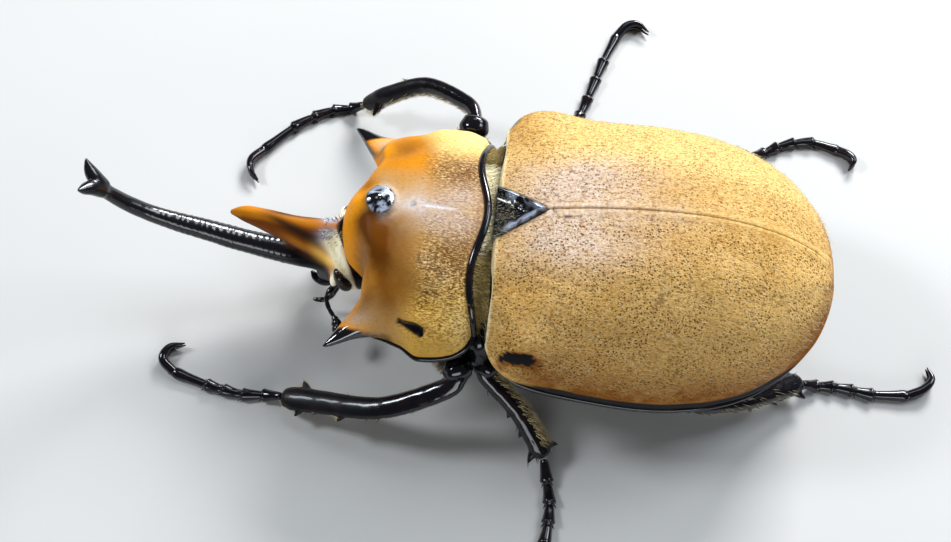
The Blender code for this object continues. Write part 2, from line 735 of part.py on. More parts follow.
def prothorax_ring(x):
    """Ring of the pronotum above its edge and of the prosternum below it."""
    half = PRONOTUM_SIDES
    half_width = read_curve(PRONOTUM_HALF_WIDTHS, x)
    edge = read_curve(PRONOTUM_EDGES, x)
    top = pronotum_top(x)
    under = read_curve(PROSTERNUM, x)
    ring = []
    for index in range(half + 1):
        across, up = superellipse(math.pi * index / half, PRONOTUM_ARCH_POWER)
        y = half_width * across
        ring.append((x + rear_lobe(x, y), y, edge + (top - edge) * up))
    for index in range(1, half):
        across, down = superellipse(math.pi * index / half, PROSTERNUM_POWER)
        y = -half_width * across
        ring.append((x + rear_lobe(x, y), y, edge - (edge - under) * down))
    return ring


def make_prothorax():
    """Make the pronotum with the prosternum below it and the knob on its dome."""
    prothorax = add_piece("prothorax", loft([prothorax_ring(x) for x in PRONOTUM_RINGS]), "amber")
    knob_place = (KNOB_X, 0, pronotum_top(KNOB_X))
    fuse(prothorax, [make_ball("knob", knob_place, (KNOB_RADIUS, KNOB_RADIUS, KNOB_RISE), "black_shell")])
    return prothorax


def make_head():
    """Make the head with the small ridge in front of each eye."""
    rings = []
    for x, z, width, height in glide_rows(HEAD, 2):
        ring = []
        for index in range(HEAD_SIDES):
            turn = 2 * math.pi * index / HEAD_SIDES
            ring.append((x, width * math.cos(turn), z + height * math.sin(turn)))
        rings.append(ring)
    head = add_piece("head", loft(rings), "amber")
    ridges = []
    for side in (-1, 1):
        place = mirrored([CANTHUS_PLACE], side)[0]
        ridges.append(make_ball("ridge", place, CANTHUS_SIZE, "amber", segments=8, rings=6))
    fuse(head, ridges)
    return head


def make_head_horn(head):
    """Make the long horn of the head with its forked tip and its root tooth."""
    stations = [(x, 0.0, z, width, height) for x, z, width, height in CEPHALIC_HORN]
    horn = add_piece("head_horn", make_limb(stations, steps=2, sides=10), "black_shell")
    blade = [(x, 0.0, z, width, height) for x, z, width, height in TOOTH]
    extras = [add_piece("tooth", make_limb(blade, steps=1, sides=8), "amber")]
    for side in (-1, 1):
        prong = [(x, y, z, size, size) for x, y, z, size in mirrored(PRONG, side)]
        extras.append(add_piece("prong", make_limb(prong, steps=1, sides=6), "black_shell"))
    fuse(horn, extras)
    cut_clear(horn, head)
    return horn


def make_face(head, prothorax):
    """Make the eyes, feelers and mouthparts of both sides."""
    for side, word in ((-1, "left"), (1, "right")):
        eye = make_ball("eye_" + word, mirrored([EYE_PLACE], side)[0], (EYE_RADIUS,) * 3, "eye", 12, 8)
        cut_clear(eye, head, prothorax)
        antenna = make_cord("antenna_" + word, mirrored(ANTENNA, side), "black_shell")
        cut_clear(antenna, head)
        jaw = make_limb(mirrored(MANDIBLE, side), steps=1, sides=6)
        mandible = add_piece("mandible_" + word, jaw, "black_shell")
        cut_clear(mandible, head)
        palp = make_cord("palp_" + word, mirrored(PALP, side), "black_shell")
        cut_clear(palp, head, mandible)


def make_side_horns(prothorax):
    """Make the pointed horn at each front corner of the pronotum."""
    for side, word in ((-1, "left"), (1, "right")):
        shape = make_limb(mirrored(SIDE_HORN, side), steps=1, sides=10)
        horn = add_piece("pronotal_horn_" + word, shape, "amber")
        cut_clear(horn, prothorax)


def make_femur(name, leg):
    """Make a femur from its coxa to the round knee, thickest before the middle."""
    start, end = np.array(leg.coxa, float), np.array(leg.knee, float)
    width, height = leg.femur_size
    stations = []
    for share, size in FEMUR_PROFILE:
        stations.append((*(start + (end - start) * share), width * size, height * size))
    return add_piece(name, make_limb(stations, steps=1), "black_shell")


def make_tibia(name, leg):
    """Make a tibia that widens to its end, with the outer teeth and the spurs."""
    width, height = leg.tibia_size
    last = len(leg.shin) - 1
    stations = []
    for index, point in enumerate(leg.shin):
        share = index / last
        stations.append((*point, width * (0.72 + 0.5 * share), height * (0.85 + 0.1 * share)))
    tibia = add_piece(name, make_limb(stations, steps=3), "black_shell")
    outward = 1 if leg.coxa[1] > 0 else -1
    extras = []
    for share, side, length in leg.teeth:
        here = glide(leg.shin, share * last)
        ahead = glide(leg.shin, min(share * last + 0.1, last)) - glide(leg.shin, share * last - 0.1)
        ahead = Vector(ahead).normalized()
        aside = Vector((0, 0, 1)).cross(ahead).normalized()
        if aside.y * outward * side < 0:
            aside = -aside
        root = Vector(here) + aside * width * 0.3
        tip = Vector(here) + aside * (width + length * 0.75) + ahead * length * 0.7
        tip.z = max(tip.z - 0.4, 0.6)
        extras.append(make_spike("tooth", root, tip, TIBIA_TOOTH_RADIUS, "black_shell"))
    fuse(tibia, extras)
    return tibia


def foot_points(leg):
    """Give the foot's joints with their height above the floor."""
    return [(x, y, z + FOOT_HEIGHT) for x, y, z in leg.foot]


def make_tarsus(name, leg):
    """Make the five foot joints, their spines and the two claws, flat where they touch the floor."""
    joints = foot_points(leg)
    stations = []
    for joint in range(5):
        for share, size in FOOT_JOINT_PROFILE:
            radius = TARSUS_RADIUS * size * (1.0 if joint < 4 else LAST_JOINT_SIZE)
            stations.append((*glide(joints, joint + share), radius, radius))
    tarsus = add_piece(name, loft(limb_rings(stations, sides=6)), "black_shell")
    fuse(tarsus, make_foot_spines(joints) + make_claws(joints[-1], leg.hook))
    cut_at_floor(tarsus)
    return tarsus


def make_foot_spines(joints):
    """Make the pair of spines at the end of each of the first four foot joints."""
    spines = []
    for joint in range(4):
        end = Vector(glide(joints, joint + 0.8))
        ahead = Vector(glide(joints, joint + 1) - glide(joints, joint + 0.6)).normalized()
        aside = Vector((0, 0, 1)).cross(ahead).normalized()
        for side in (-1, 1):
            tip = end + aside * side * (TARSUS_RADIUS + SPINE_REACH) + ahead * 1.5
            tip.z = max(tip.z - 0.4, 0.25)
            spines.append(make_spike("spine", end, tip, SPINE_RADIUS, "black_shell"))
    return spines


def make_claws(heel, hooked):
    """Make the two curved claws of a foot, one splayed above the other."""
    claws = []
    for splay in (-1, 1):
        hook = [(heel[0], heel[1], FOOT_HEIGHT + 0.15 * splay, CLAW_RADIUS, CLAW_RADIUS)]
        for (x, y), taper, lift in zip(hooked, CLAW_TAPER, CLAW_LIFT):
            size = CLAW_RADIUS * taper
            hook.append((x, y, FOOT_HEIGHT + CLAW_RISE + CLAW_SPLAY * lift * splay, size, size))
        claws.append(add_piece("claw", make_limb(hook, steps=1, sides=5), "black_shell"))
    return claws


def make_leg(word, leg, bodies):
    """Make one leg and cut each part clear of what it grows from."""
    body = bodies[leg.body]
    neighbours = [bodies[key] for key in ("thorax", "abdomen")] if leg.body == "thorax" else [body]
    coxa = make_ball(word + "_coxa", leg.coxa, leg.coxa_size, "black_shell", 10, 6)
    cut_clear(coxa, *neighbours)
    femur = make_femur(word + "_femur", leg)
    cut_clear(femur, coxa, *neighbours)
    tibia = make_tibia(word + "_tibia", leg)
    cut_clear(tibia, femur)
    tarsus = make_tarsus(word + "_tarsus", leg)
    cut_clear(tarsus, tibia)


def stand_on_origin():
    """Hold all pieces by one empty, so that the origin is under the middle of the whole beetle."""
    pieces = list(bpy.data.collections[OBJECT_NAME].objects)
    corners = np.array([vertex.co[:] for piece in pieces for vertex in piece.data.vertices])
    middle = (corners.min(axis=0) + corners.max(axis=0)) / 2
    holder = bpy.data.objects.new(OBJECT_NAME + "_origin", None)
    bpy.context.scene.collection.objects.link(holder)
    holder.location = (-middle[0], -middle[1], 0.0)
    for piece in pieces:
        piece.parent = holder
        shade_round(piece)


def main():
    """Build the whole beetle."""
    clear_scene()
    make_collection(OBJECT_NAME)
    make_collection("cutters")
    for side, word in ((-1, "left"), (1, "right")):
        make_elytron("elytron_" + word, side)
    make_scutellum()
    thorax, abdomen = make_trunk()
    prothorax = make_prothorax()
    make_side_horns(prothorax)
    head = make_head()
    cut_clear(head, prothorax)
    make_head_horn(head)
    make_face(head, prothorax)
    bodies = {"prothorax": prothorax, "thorax": thorax, "abdomen": abdomen}
    for word, leg in LEGS.items():
        make_leg(word, leg, bodies)
    stand_on_origin()


main()
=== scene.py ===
"""The looks of an elephant beetle model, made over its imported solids.

Lengths are millimetres, measured from the middle of the pronotum's rear edge and from the
floor, with the head toward -X and the beetle's right side toward +Y. A piece is made in
them and turned into metres in the row frame when it is finished.
"""

import math

import bmesh
import bpy
import numpy as np
from bpy.props import FloatProperty, FloatVectorProperty, PointerProperty
from bpy.types import Operator, Panel, PropertyGroup
from mathutils import Matrix, Vector


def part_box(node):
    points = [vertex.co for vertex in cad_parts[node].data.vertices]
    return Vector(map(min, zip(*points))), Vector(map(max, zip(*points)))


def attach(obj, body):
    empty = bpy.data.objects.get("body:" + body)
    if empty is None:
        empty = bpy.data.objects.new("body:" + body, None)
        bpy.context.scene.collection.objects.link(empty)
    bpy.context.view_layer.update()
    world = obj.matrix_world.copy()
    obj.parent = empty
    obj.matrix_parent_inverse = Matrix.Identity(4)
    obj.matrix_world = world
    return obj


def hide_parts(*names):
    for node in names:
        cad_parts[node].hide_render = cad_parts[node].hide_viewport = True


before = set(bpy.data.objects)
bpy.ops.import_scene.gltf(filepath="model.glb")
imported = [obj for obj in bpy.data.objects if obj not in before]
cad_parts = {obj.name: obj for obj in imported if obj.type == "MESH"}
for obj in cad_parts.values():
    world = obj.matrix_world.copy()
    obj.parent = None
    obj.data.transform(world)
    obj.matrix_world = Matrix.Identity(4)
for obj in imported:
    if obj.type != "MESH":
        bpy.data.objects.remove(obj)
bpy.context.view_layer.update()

bl_info = {
    "name": "Elephant beetle",
    "version": (1, 0, 0),
    "blender": (4, 5, 0),
    "location": "View3D > Sidebar > Beetle",
    "description": "Makes the shell, hair, legs and stage of an elephant beetle model",
    "category": "Add Mesh",
}

MM = 0.001
BODY = "root"
SIDES = ((-1, "left"), (1, "right"))
TUFT_PATCH = 0.003

# Wing covers: from the straight front edge past the shoulders to the apex
ELYTRA_FRONT = 1.0
SHOULDER_START = -0.9
WIDEST_X = 22.0
APEX_X = 58.9
ELYTRA_HALF_WIDTH = 24.6
SHOULDER_POWER = 7.5
APEX_POWER = 2.6
CREST_X = 30.0
CREST_Z = 38.1
FRONT_DROP = 5.9
CREST_POWER = 2.2
EDGE_LOW_X = 34.0
EDGE_LOW_Z = 15.0
EDGE_FRONT_RISE = 9.0
EDGE_REAR_RISE = 4.0
ARCH_POWER = 2.4
ELYTRON_WALL = 0.9
ELYTRON_GRID = (320, 140)
SEAM_GAP = 0.03

# Scutellum
SCUTELLUM_FRONT = 1.3
SCUTELLUM_TIP = 9.9
SCUTELLUM_HALF_WIDTH = 5.1
SCUTELLUM_TAPER = 0.9
SCUTELLUM_WALL = 0.9
SCUTELLUM_GRID = (110, 90)

# Body under the wing covers
BODY_FRONT = 0.35
BODY_INSET = 1.35
NECK_HALF_WIDTH = 12.5
THORAX_END = 18.2
ABDOMEN_END = 53.0
PYGIDIUM_END = 57.2
BELLY = (
    (0.0, 7.5), (3.0, 4.8), (8.0, 3.7), (20.0, 3.4), (35.0, 3.6), (47.0, 5.6), (54.0, 9.0), (58.5, 14.0),
)
BELLY_POWER = 1.6
STERNITE_COUNT = 6
STERNITE_STEP = 0.35
BODY_ROW = 0.3

# Pronotum
PRONOTUM_NOSE = -24.3
PRONOTUM_TOP = 33.2
PRONOTUM_TOP_X = -17.5
PRONOTUM_REAR_DROP = 1.0
NOSE_Z = 20.0
NOSE_POWER = 2.6
PRONOTUM_ARCH_POWER = 1.9
PRONOTUM_HALF_WIDTHS = (
    (-24.3, 1.4), (-23.5, 4.2), (-22.0, 6.4), (-20.8, 8.4), (-20.0, 11.0), (-19.3, 14.6), (-18.6, 17.2),
    (-17.4, 18.4), (-15.0, 18.8), (-12.3, 19.6), (-9.1, 21.3), (-6.5, 21.2), (-4.1, 20.8), (-2.0, 19.9),
    (0.0, 17.4),
)
PRONOTUM_EDGES = ((-24.3, 19.4), (-21.0, 19.6), (-18.0, 20.0), (-9.0, 19.6), (-4.0, 20.3), (0.0, 22.4))
PROSTERNUM = (
    (-24.3, 19.0), (-22.5, 17.0), (-21.5, 13.5), (-20.0, 8.5), (-17.0, 5.6), (-9.0, 4.4), (-3.0, 5.2),
    (0.0, 7.5),
)
PROSTERNUM_POWER = 1.3
REAR_LOBE = 1.9
REAR_LOBE_PITCH = 21.0
REAR_LOBE_REACH = 8.0
PRONOTUM_GRID = (110, 80)
KNOB_X = -17.4
SIDE_HORN = (
    (-15.2, 13.6, 21.4, 4.8, 3.9), (-17.8, 15.6, 21.0, 3.7, 2.8), (-20.1, 17.2, 20.6, 2.4, 1.9),
    (-21.6, 18.4, 20.45, 1.65, 1.35),
    (-23.0, 19.6, 20.3, 1.05, 0.95), (-24.3, 20.6, 20.1, 0.55, 0.55), (-25.0, 21.0, 20.0, 0.2, 0.2),
)

# Head and its horn
HEAD = (
    (-18.6, 13.6, 5.4, 6.0), (-21.0, 14.4, 6.6, 7.6), (-23.5, 14.6, 6.7, 8.4), (-25.4, 13.8, 5.9, 7.8),
    (-27.0, 12.0, 4.8, 5.8), (-28.4, 9.4, 3.9, 3.2), (-29.6, 7.8, 2.8, 1.4),
)
CEPHALIC_HORN = (
    (-24.0, 13.6, 4.4, 6.0), (-27.2, 12.6, 3.8, 4.6), (-30.4, 11.9, 3.0, 3.3), (-34.0, 11.6, 2.45, 2.5),
    (-38.4, 12.5, 2.2, 2.15), (-43.2, 14.3, 2.05, 1.95), (-48.2, 16.5, 1.9, 1.8), (-52.8, 18.5, 1.7, 1.65),
    (-57.0, 20.7, 1.5, 1.45), (-60.6, 23.6, 1.4, 1.3), (-63.2, 26.6, 1.35, 1.2), (-64.8, 29.0, 1.5, 1.05),
)
PRONG = (
    (-64.0, 0.4, 28.2, 1.35), (-65.2, 1.0, 30.0, 1.35), (-66.0, 1.9, 31.1, 1.05), (-66.6, 3.0, 32.5, 0.3),
)
TOOTH = (
    (-26.0, 16.5, 3.3, 6.4), (-29.5, 18.0, 2.7, 5.2), (-33.5, 20.2, 2.0, 3.6), (-37.5, 22.6, 1.6, 2.6),
    (-40.8, 24.1, 1.2, 1.7), (-43.0, 24.3, 0.45, 0.5),
)
EYE_PLACE = (-23.9, 6.25, 15.2)
EYE_RADII = (1.3, 1.75, 2.65)
EYE_LEAN = (-2.5, -1.5, 5.4)
CANTHUS_PLACE = (-25.4, 6.5, 15.2)
CANTHUS_SIZE = (1.0, 1.7, 0.8)
ANTENNA = (
    (-25.2, 4.4, 10.4, 0.6), (-26.6, 6.4, 9.8, 0.6), (-27.0, 7.6, 9.2, 0.45), (-26.5, 8.9, 8.5, 0.42),
    (-25.6, 10.0, 7.8, 0.42), (-25.1, 10.7, 7.4, 0.8), (-24.7, 11.8, 6.8, 1.0), (-24.4, 12.9, 6.2, 0.85),
    (-24.2, 13.7, 5.8, 0.4),
)
MANDIBLE = (
    (-26.8, 2.6, 7.0, 1.2, 1.0), (-28.6, 2.5, 6.2, 1.1, 0.8), (-30.0, 1.9, 6.0, 0.8, 0.55),
    (-30.8, 1.1, 6.2, 0.3, 0.3),
)
PALP = (
    (-25.4, 3.2, 7.2, 0.45), (-26.4, 4.6, 5.4, 0.45), (-27.6, 5.3, 4.4, 0.42), (-29.0, 5.5, 4.0, 0.5),
    (-30.0, 5.4, 3.9, 0.3),
)

# Legs: coxa place and size, knee, the tibia's path, the foot's joints and the claws' hook
FOOT_HEIGHT = 0.8
TARSUS_RADIUS = 1.08
LEGS = {
    "front_left": dict(
        coxa=(-9.0, -5.6, 5.6), coxa_size=(3.2, 4.6, 3.4), knee=(-2.4, -21.7, 16.6),
        shin=(
            (-3.0, -23.4, 15.2), (-7.6, -25.3, 12.6), (-15.2, -26.7, 9.2), (-24.2, -25.4, 5.6),
            (-31.8, -24.2, 3.0),
        ),
        foot=(
            (-33.2, -23.9, 1.8), (-36.7, -23.4, 0), (-40.4, -23.6, 0), (-43.8, -23.1, 0), (-47.0, -22.4, 0),
            (-52.9, -20.7, 0),
        ),
        hook=((-55.2, -18.7), (-54.4, -16.4), (-51.9, -15.4)), femur=(2.7, 2.2), tibia=(1.85, 1.55)),
    "front_right": dict(
        coxa=(-9.0, 5.6, 5.6), coxa_size=(3.2, 4.6, 3.4), knee=(-4.3, 25.6, 17.4),
        shin=(
            (-4.6, 28.3, 16.8), (-8.4, 33.1, 15.4), (-14.0, 35.8, 13.0), (-20.2, 36.1, 9.4),
            (-25.3, 36.2, 4.4),
        ),
        foot=(
            (-26.6, 36.8, 2.0), (-29.4, 36.9, 0), (-32.7, 36.1, 0), (-36.2, 34.2, 0), (-39.8, 31.3, 0),
            (-44.6, 25.9, 0),
        ),
        hook=((-46.3, 23.4), (-46.1, 21.0), (-44.4, 18.9)), femur=(2.8, 2.4), tibia=(1.35, 1.65)),
    "middle_left": dict(
        coxa=(9.5, -6.4, 4.9), coxa_size=(3.2, 5.2, 2.9), knee=(1.6, -19.6, 14.2),
        shin=((2.2, -20.6, 12.9), (6.2, -23.0, 9.9), (9.9, -26.2, 6.4), (12.8, -29.5, 3.0)),
        foot=(
            (13.3, -30.9, 1.8), (14.2, -34.2, 0), (14.9, -37.9, 0), (14.9, -41.4, 0), (14.5, -45.2, 0),
            (13.3, -52.0, 0),
        ),
        hook=((12.4, -54.8), (10.6, -56.4), (8.2, -56.2)), femur=(2.5, 1.9), tibia=(1.65, 1.35)),
    "middle_right": dict(
        coxa=(9.5, 6.4, 4.9), coxa_size=(3.2, 5.2, 2.9), knee=(4.0, 21.4, 13.2),
        shin=((4.3, 22.8, 12.2), (6.8, 26.6, 9.4), (9.7, 31.0, 6.4), (12.8, 35.6, 3.0)),
        foot=(
            (13.6, 36.9, 1.8), (15.0, 40.4, 0), (16.2, 44.3, 0), (17.5, 48.9, 0), (18.8, 53.4, 0),
            (21.0, 59.4, 0),
        ),
        hook=((22.8, 61.6), (25.0, 62.0), (27.2, 60.4)), femur=(2.5, 1.9), tibia=(1.5, 1.35)),
    "hind_left": dict(
        coxa=(23.5, -7.4, 4.9), coxa_size=(3.4, 6.2, 2.9), knee=(37.2, -20.6, 10.8),
        shin=((38.8, -20.9, 10.2), (44.2, -19.4, 8.6), (50.6, -16.0, 5.8), (56.2, -12.3, 3.0)),
        foot=(
            (57.5, -12.2, 1.8), (60.4, -11.6, 0), (63.4, -11.5, 0), (66.8, -11.8, 0), (70.4, -12.2, 0),
            (76.4, -11.8, 0),
        ),
        hook=((79.0, -10.6), (80.5, -8.6), (79.8, -6.4)), femur=(2.8, 2.0), tibia=(1.8, 1.45)),
    "hind_right": dict(
        coxa=(23.5, 7.4, 4.9), coxa_size=(3.4, 6.2, 2.9), knee=(32.4, 23.0, 11.2),
        shin=((33.4, 24.2, 10.6), (37.8, 27.2, 8.2), (42.2, 30.0, 5.6), (46.6, 32.6, 3.0)),
        foot=(
            (47.8, 33.3, 1.8), (50.6, 35.4, 0), (53.2, 37.0, 0), (56.4, 38.2, 0), (60.0, 38.6, 0),
            (64.7, 37.4, 0),
        ),
        hook=((66.6, 36.2), (67.4, 34.8), (66.6, 33.2)), femur=(2.8, 2.0), tibia=(1.8, 1.45)),
}

# By pair of legs: outer teeth of the tibia (share of its length, side, length), how dull its end is,
# and how full the hair is
REAR_TEETH = ((0.45, 1, 0.9), (0.68, 1, 1.2), (0.95, 1, 2.3), (0.95, -1, 2.6))
LEG_PAIRS = {
    "front": dict(
        teeth=((0.66, 1, 2.0), (0.9, 1, 2.0), (0.9, -1, 2.8)), matte=0.7, tibia_hair=0.5, tibia_bristles=0.6,
        femur_hair=1.0),
    "middle": dict(teeth=REAR_TEETH, matte=0.2, tibia_hair=0.8, tibia_bristles=0.6, femur_hair=1.0),
    "hind": dict(teeth=REAR_TEETH, matte=0.2, tibia_hair=0.05, tibia_bristles=0.6, femur_hair=0.1),
}

# Hair: colour, hairs on a square millimetre, length, rise, stray, seed, thickness, bend and levels
HAIR_WORDS = ("colour", "Density", "Length", "Rise", "Stray", "Seed", "thick", "bend", "levels")
HAIRS = {
    "pile": ("golden_hair", 9.0, 0.75, 0.28, 0.22, 21, 0.032, 0.25, 2),
    "scutellum_down": ("grey_hair", 24.0, 0.7, 0.35, 0.3, 51, 0.035, 0.3, 2),
    "collar_cream_hair": ("cream_hair", 34.0, 1.2, 0.8, 0.3, 5, 0.05, 0.35, 3),
    "collar_olive_hair": ("olive_hair", 34.0, 1.2, 0.8, 0.3, 5, 0.05, 0.35, 3),
    "head_cream_hair": ("cream_hair", 30.0, 0.6, 0.45, 0.3, 41, 0.05, 0.4, 3),
    "head_bristles": ("bristle", 7.0, 0.55, 0.8, 0.4, 43, 0.1, 0.1, 2),
    "mouth_brush": ("mouth_hair", 8.0, 1.6, 0.7, 0.3, 45, 0.04, 0.3, 3),
    "tibia_hair": ("leg_hair", 16.0, 1.25, 0.45, 0.25, 31, 0.035, 0.3, 3),
    "tibia_bristles": ("bristle", 0.5, 1.1, 0.6, 0.3, 33, 0.08, 0.15, 3),
    "femur_hair": ("leg_hair", 9.0, 1.7, 0.5, 0.3, 35, 0.035, 0.35, 3),
}
HAIR_COLOURS = {
    "golden_hair": ("golden", "cream"),
    "grey_hair": ("grey_down", "cream"),
    "cream_hair": ("cream", "cream_light"),
    "olive_hair": ("olive", "golden"),
    "bristle": ("shell_black", "shell_maroon"),
    "mouth_hair": ("horn_brown", "shell_maroon"),
    "leg_hair": ("leg_hair", "pile_light"),
}

# Marks of the wing covers in plan, with y out from the seam: creases of the left and the right cover
# (place, length and slant), the left one's dark crease, and the black spot of each shoulder
CREASES = {
    -1: (
        (23.5, 10.5, 3.4, 0.35), (28.0, 12.6, 2.6, -0.4), (11.0, 12.0, 6.0, 0.55), (15.0, 19.5, 4.2, -0.3),
        (5.0, 16.5, 3.5, 0.9),
    ),
    1: ((14.5, 15.0, 4.2, 0.5), (20.0, 17.5, 3.0, 0.2), (9.0, 10.0, 5.0, 0.35)),
}
DARK_CREASE = (27.6, 15.5)
DARK_CREASE_SLANT = 0.25
CALLUS = (7.0, 23.0)

# Marks of the pronotum in plan: knob, midline spot, slit, how far out the horns turn black, and places
# of painted shade with their reach and strength
KNOB_SIZE = (2.6, 2.75)
KNOB_BLACK_SIZE = (2.3, 2.5)
MIDLINE_SPOT = (-12.0, 0.0)
SLIT = ((-12.6, -17.5), (-8.8, -19.1))
HORN_BLACK = ((-26.0, 17.3), (-22.9, 17.7), (-20.2, 18.2), (-17.6, 18.55), (-14.1, 18.95), (-12.0, 20.5))
PAINTED_SHADE_PLACES = (
    (-19.0, -3.8, 2.0, 0.5), (-17.4, -6.4, 3.6, 0.4), (-20.3, 3.2, 1.2, 0.5), (-18.5, -15.0, 1.6, 0.5),
    (-7.0, 6.2, 3.2, 0.35),
)

# Marks of the head: its cream tuft in plan and the middle of the horn's fork
CREAM_TUFT = (-24.9, -2.0)
FORK_X = -63.8

# Neck between the pronotum and the wing covers
COLLAR_FRONT = -3.0
COLLAR_REAR = 1.5
COLLAR_HALF_WIDTHS = ((-3.0, 18.2), (-1.5, 17.3), (0.0, 16.4), (0.7, 17.0), (1.6, 17.9))
COLLAR_EDGE_Z = 22.0
COLLAR_LOW_Z = 8.5
COLLAR_POWERS = (2.1, 1.5)
SHOULDER_BALL = (0.6, 16.6, 16.0)
SHOULDER_BALL_SIZE = (2.6, 3.4, 5.4)

# Camera, in the frame's words: degrees round from the beetle's left, degrees up, roll
CAMERA_AZIMUTH = 4.0
CAMERA_ELEVATION = 64.0
CAMERA_ROLL = 1.8
CAMERA_TARGET = (-1.3, -4.2, 19.0)
CAMERA_DISTANCE = 246.0
CAMERA_LENS = 55.0

# Soft boxes: place, size and colour. They all look at one place
SOFTBOXES = {
    "key": ((170, 470, 340), (230, 160), (0.97, 0.98, 1.0)),
    "behind": ((330, 190, 400), (260, 190), (0.84, 0.92, 1.0)),
    "above": ((-20, 330, 640), (240, 170), (0.82, 0.91, 1.0)),
    "ahead": ((-420, 60, 400), (110, 120), (0.88, 0.94, 1.0)),
    "fill": ((60, -430, 170), (320, 130), (0.93, 0.96, 1.0)),
}
LIGHT_TARGET = (0, 0, 20)
FLOOR_HALF = 6.0


def frame_origin():
    """Give the place of these millimetres' zero point in the row frame, from the thorax."""
    low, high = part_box("thorax")
    return np.array((low.x / MM - BODY_FRONT, (low.y + high.y) / 2 / MM, 0.0))


ORIGIN = frame_origin()


class Value:
    """A socket of a node tree that can stand in Python expressions."""

    def __init__(self, nodes, socket):
        self.nodes = nodes
        self.socket = socket

    def math(self, operation, *others):
        inputs = {0: self}
        inputs.update({index + 1: other for index, other in enumerate(others)})
        return self.nodes.add("ShaderNodeMath", {"operation": operation}, inputs)

    def __add__(self, other):
        return self.math("ADD", other)

    __radd__ = __add__

    def __sub__(self, other):
        return self.math("SUBTRACT", other)

    def __rsub__(self, other):
        return self.nodes.add("ShaderNodeMath", {"operation": "SUBTRACT"}, {0: other, 1: self})

    def __mul__(self, other):
        return self.math("MULTIPLY", other)

    __rmul__ = __mul__

    def beside(self, name):
        """Give another output of the same node."""
        return Value(self.nodes, self.socket.node.outputs[name])


class Nodes:
    """Builds the nodes of one tree."""

    def __init__(self, tree):
        self.tree = tree

    def add(self, kind, settings=None, inputs=None, output=0):
        """Add a node, set it, feed its sockets with numbers or values, and give one of its outputs."""
        node = self.tree.nodes.new(kind)
        for key, setting in (settings or {}).items():
            setattr(node, key, setting)
        for key, value in (inputs or {}).items():
            self.feed(node.inputs[key], value)
        return Value(self, node.outputs[output]) if node.outputs else None

    def feed(self, socket, value):
        """Link a value into a socket, or set the socket to a number."""
        if isinstance(value, Value):
            self.tree.links.new(value.socket, socket)
        else:
            socket.default_value = value

    def mask(self, name):
        """Read a number stored on the mesh."""
        return self.add("ShaderNodeAttribute", {"attribute_name": name}, output="Fac")

    def stored(self, name, kind="FLOAT"):
        """Read what the points of a Geometry Nodes mesh store under a name."""
        return self.add("GeometryNodeInputNamedAttribute", {"data_type": kind}, {"Name": name})

    def given(self):
        """Give the group's own inputs by name."""
        node = self.tree.nodes.new("NodeGroupInput")
        return {socket.name: Value(self, socket) for socket in node.outputs if socket.name}

    def random(self, low, high, seed):
        """Give a random number for each point."""
        inputs = {2: low, 3: high, 8: seed}
        return self.add("FunctionNodeRandomValue", {"data_type": "FLOAT"}, inputs, output=1)

    def vector(self, operation, first, second):
        """Work with two vectors, or with a vector and a number to scale it by."""
        key = "Scale" if operation == "SCALE" else 1
        return self.add("ShaderNodeVectorMath", {"operation": operation}, {0: first, key: second})

    def place(self):
        """Read the place on the object, in metres."""
        return self.add("ShaderNodeTexCoord", output="Object")

    def noise(self, size, detail=3.0, rough=0.55, at=None, stretch=(1.0, 1.0, 1.0)):
        """Give a noise between 0 and 1 whose lumps are about size millimetres."""
        spot = at or self.place()
        if stretch != (1.0, 1.0, 1.0):
            spot = self.add("ShaderNodeVectorMath", {"operation": "MULTIPLY"}, {0: spot, 1: stretch})
        inputs = {"Vector": spot, "Scale": 1.0 / (size * MM), "Detail": detail, "Roughness": rough}
        return self.add("ShaderNodeTexNoise", None, inputs)

    def cells(self, size, at=None, randomness=1.0):
        """Give the distance to the nearest of scattered points about size millimetres apart."""
        settings = {"voronoi_dimensions": "3D" if at is None else "2D"}
        inputs = {"Vector": at or self.place(), "Scale": 1.0 / (size * MM), "Randomness": randomness}
        return self.add("ShaderNodeTexVoronoi", settings, inputs, "Distance")

    def ramp(self, value, low, high, start=0.0, end=1.0):
        """Ease a value from start to end as it goes from low to high."""
        inputs = {"Value": value, "From Min": low, "From Max": high, "To Min": start, "To Max": end}
        return self.add("ShaderNodeMapRange", {"interpolation_type": "SMOOTHSTEP"}, inputs)

    def blend(self, share, first, second, mode="MIX"):
        """Mix two colours, given as linear numbers or values."""
        settings = {"data_type": "RGBA", "blend_type": mode, "clamp_factor": True}
        inputs = {"Factor": share, 6: as_colour(first), 7: as_colour(second)}
        return self.add("ShaderNodeMix", settings, inputs, output=2)

    def bump(self, height, depth, normal=None):
        """Give a normal for a height between 0 and 1 that is depth millimetres high."""
        inputs = {"Height": height, "Strength": 1.0, "Distance": depth * MM}
        if normal is not None:
            inputs["Normal"] = normal
        return self.add("ShaderNodeBump", None, inputs)


def as_colour(colour):
    """Give a colour its alpha, unless it is a value already."""
    return colour if isinstance(colour, Value) else (*tuple(colour)[:3], 1.0)


def start_material(name):
    """Make an empty material and the builder of its nodes."""
    material = bpy.data.materials.new(name)
    material.use_nodes = True
    material.node_tree.nodes.clear()
    return material, Nodes(material.node_tree)


def end_material(nodes, colour, roughness, normal=None, **constants):
    """Feed the surface of a material, with sockets that are alike all over given by name."""
    inputs = {"Base Color": as_colour(colour), "Roughness": roughness}
    if normal is not None:
        inputs["Normal"] = normal
    words = {key: key.replace("_", " ").title().replace("Ior", "IOR") for key in constants}
    inputs.update({words[key]: value for key, value in constants.items()})
    shader = nodes.add("ShaderNodeBsdfPrincipled", None, inputs)
    nodes.add("ShaderNodeOutputMaterial", None, {"Surface": shader})


